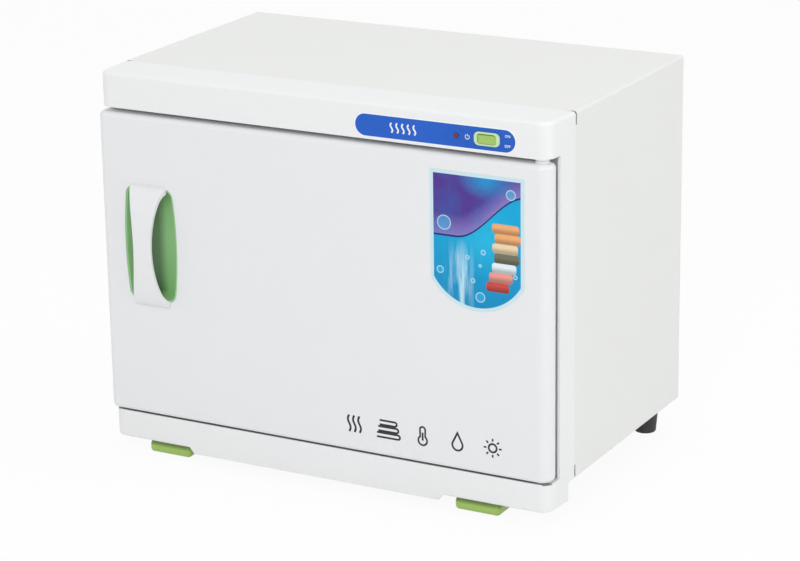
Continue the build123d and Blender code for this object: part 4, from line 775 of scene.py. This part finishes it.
def aim_camera():
    """The photograph's angle, fitted to the object's edges in it."""
    azimuth, elevation, roll = (math.radians(a) for a in (28.69, 17.56, -0.89))
    centre = Vector((0, 0.055, 0.2128))
    leftwards, downwards, distance = 0.0174, 0.0678, 2.597
    back = Vector((math.sin(azimuth), -math.cos(azimuth), 0)) * math.cos(elevation)
    back.z = math.sin(elevation)
    level_right = Vector((math.cos(azimuth), math.sin(azimuth), 0))
    level_up = back.cross(level_right)
    right = level_right * math.cos(roll) + level_up * math.sin(roll)
    up = level_up * math.cos(roll) - level_right * math.sin(roll)
    seat = centre - right * leftwards - up * downwards + back * distance
    camera = new_object("camera", bpy.data.cameras.new("camera"))
    rows = [(*axis, where) for axis, where in zip(zip(right, up, back), seat)]
    camera.matrix_world = Matrix(rows + [(0, 0, 0, 1)])
    camera.data.lens = 126.09
    camera.data.sensor_width = 36
    bpy.context.scene.camera = camera


def seen_white(tree, shader, strength):
    """Mixes a white glow into what the camera, gloss and glass see."""
    path = tree.nodes.new("ShaderNodeLightPath")
    any_ray = path.outputs["Is Camera Ray"]
    for other in ("Is Glossy Ray", "Is Transmission Ray"):
        joined = tree.nodes.new("ShaderNodeMath")
        joined.operation = "MAXIMUM"
        tree.links.new(any_ray, joined.inputs[0])
        tree.links.new(path.outputs[other], joined.inputs[1])
        any_ray = joined.outputs[0]
    scaled = tree.nodes.new("ShaderNodeMath")
    scaled.operation = "MULTIPLY"
    scaled.inputs[1].default_value = strength
    tree.links.new(any_ray, scaled.inputs[0])
    background = shader.type == "BACKGROUND"
    glow = tree.nodes.new("ShaderNodeBackground" if background else "ShaderNodeEmission")
    glow.inputs["Color"].default_value = (1, 1, 1, 1)
    blend = tree.nodes.new("ShaderNodeMixShader")
    tree.links.new(scaled.outputs[0], blend.inputs[0])
    tree.links.new(shader.outputs[0], blend.inputs[1])
    tree.links.new(glow.outputs[0], blend.inputs[2])
    return blend.outputs[0]


def lay_floor():
    """A pale floor, nearly white to the camera, that keeps a faint shadow."""
    reach = 12.0
    corners = [(-reach, -reach, 0), (reach, -reach, 0), (reach, reach, 0), (-reach, reach, 0)]
    mesh = bpy.data.meshes.new("floor")
    mesh.from_pydata(corners, [], [(0, 1, 2, 3)])
    floor = new_object("floor", mesh)
    s = Surface("pale_floor")
    tint = s.mix(s.between(s.noise(3, 3), 0.3, 0.7), (0.86, 0.86, 0.86), (0.88, 0.88, 0.88))
    s.done(tint, 0.9)
    output = s.tree.nodes["Material Output"]
    s.tree.links.new(seen_white(s.tree, s.shader, 0.93), output.inputs["Surface"])
    mesh.materials.append(s.material)


def light(name, place, target, size, power):
    data = bpy.data.lights.new(name, "AREA")
    data.shape = "DISK"
    data.size = size
    data.energy = power
    made = new_object(name, data)
    made.location = place
    aim = Vector(target) - Vector(place)
    made.rotation_euler = aim.to_track_quat("-Z", "Y").to_euler()


def make_world():
    world = bpy.data.worlds.new("studio")
    bpy.context.scene.world = world
    world.use_nodes = True
    tree = world.node_tree
    sky = tree.nodes["Background"]
    sky.inputs["Color"].default_value = (1, 1, 1, 1)
    sky.inputs["Strength"].default_value = 0.55
    tree.links.new(seen_white(tree, sky, 1.0), tree.nodes["World Output"].inputs["Surface"])


aim_camera()
lay_floor()
make_world()
light("key", (1.25, -3.15, 2.0), (0, 0, 0.18), 1.9, 44.5)
light("side_fill", (3.2, 0.4, 1.3), (0, 0, 0.18), 2.0, 20)
light("left_fill", (-2.8, -1.6, 1.6), (0, 0, 0.18), 2.0, 8)
light("overhead", (0.2, 0.4, 3.2), (0, 0, 0.3), 2.4, 22)

scene = bpy.context.scene
scene.view_settings.view_transform = "Standard"
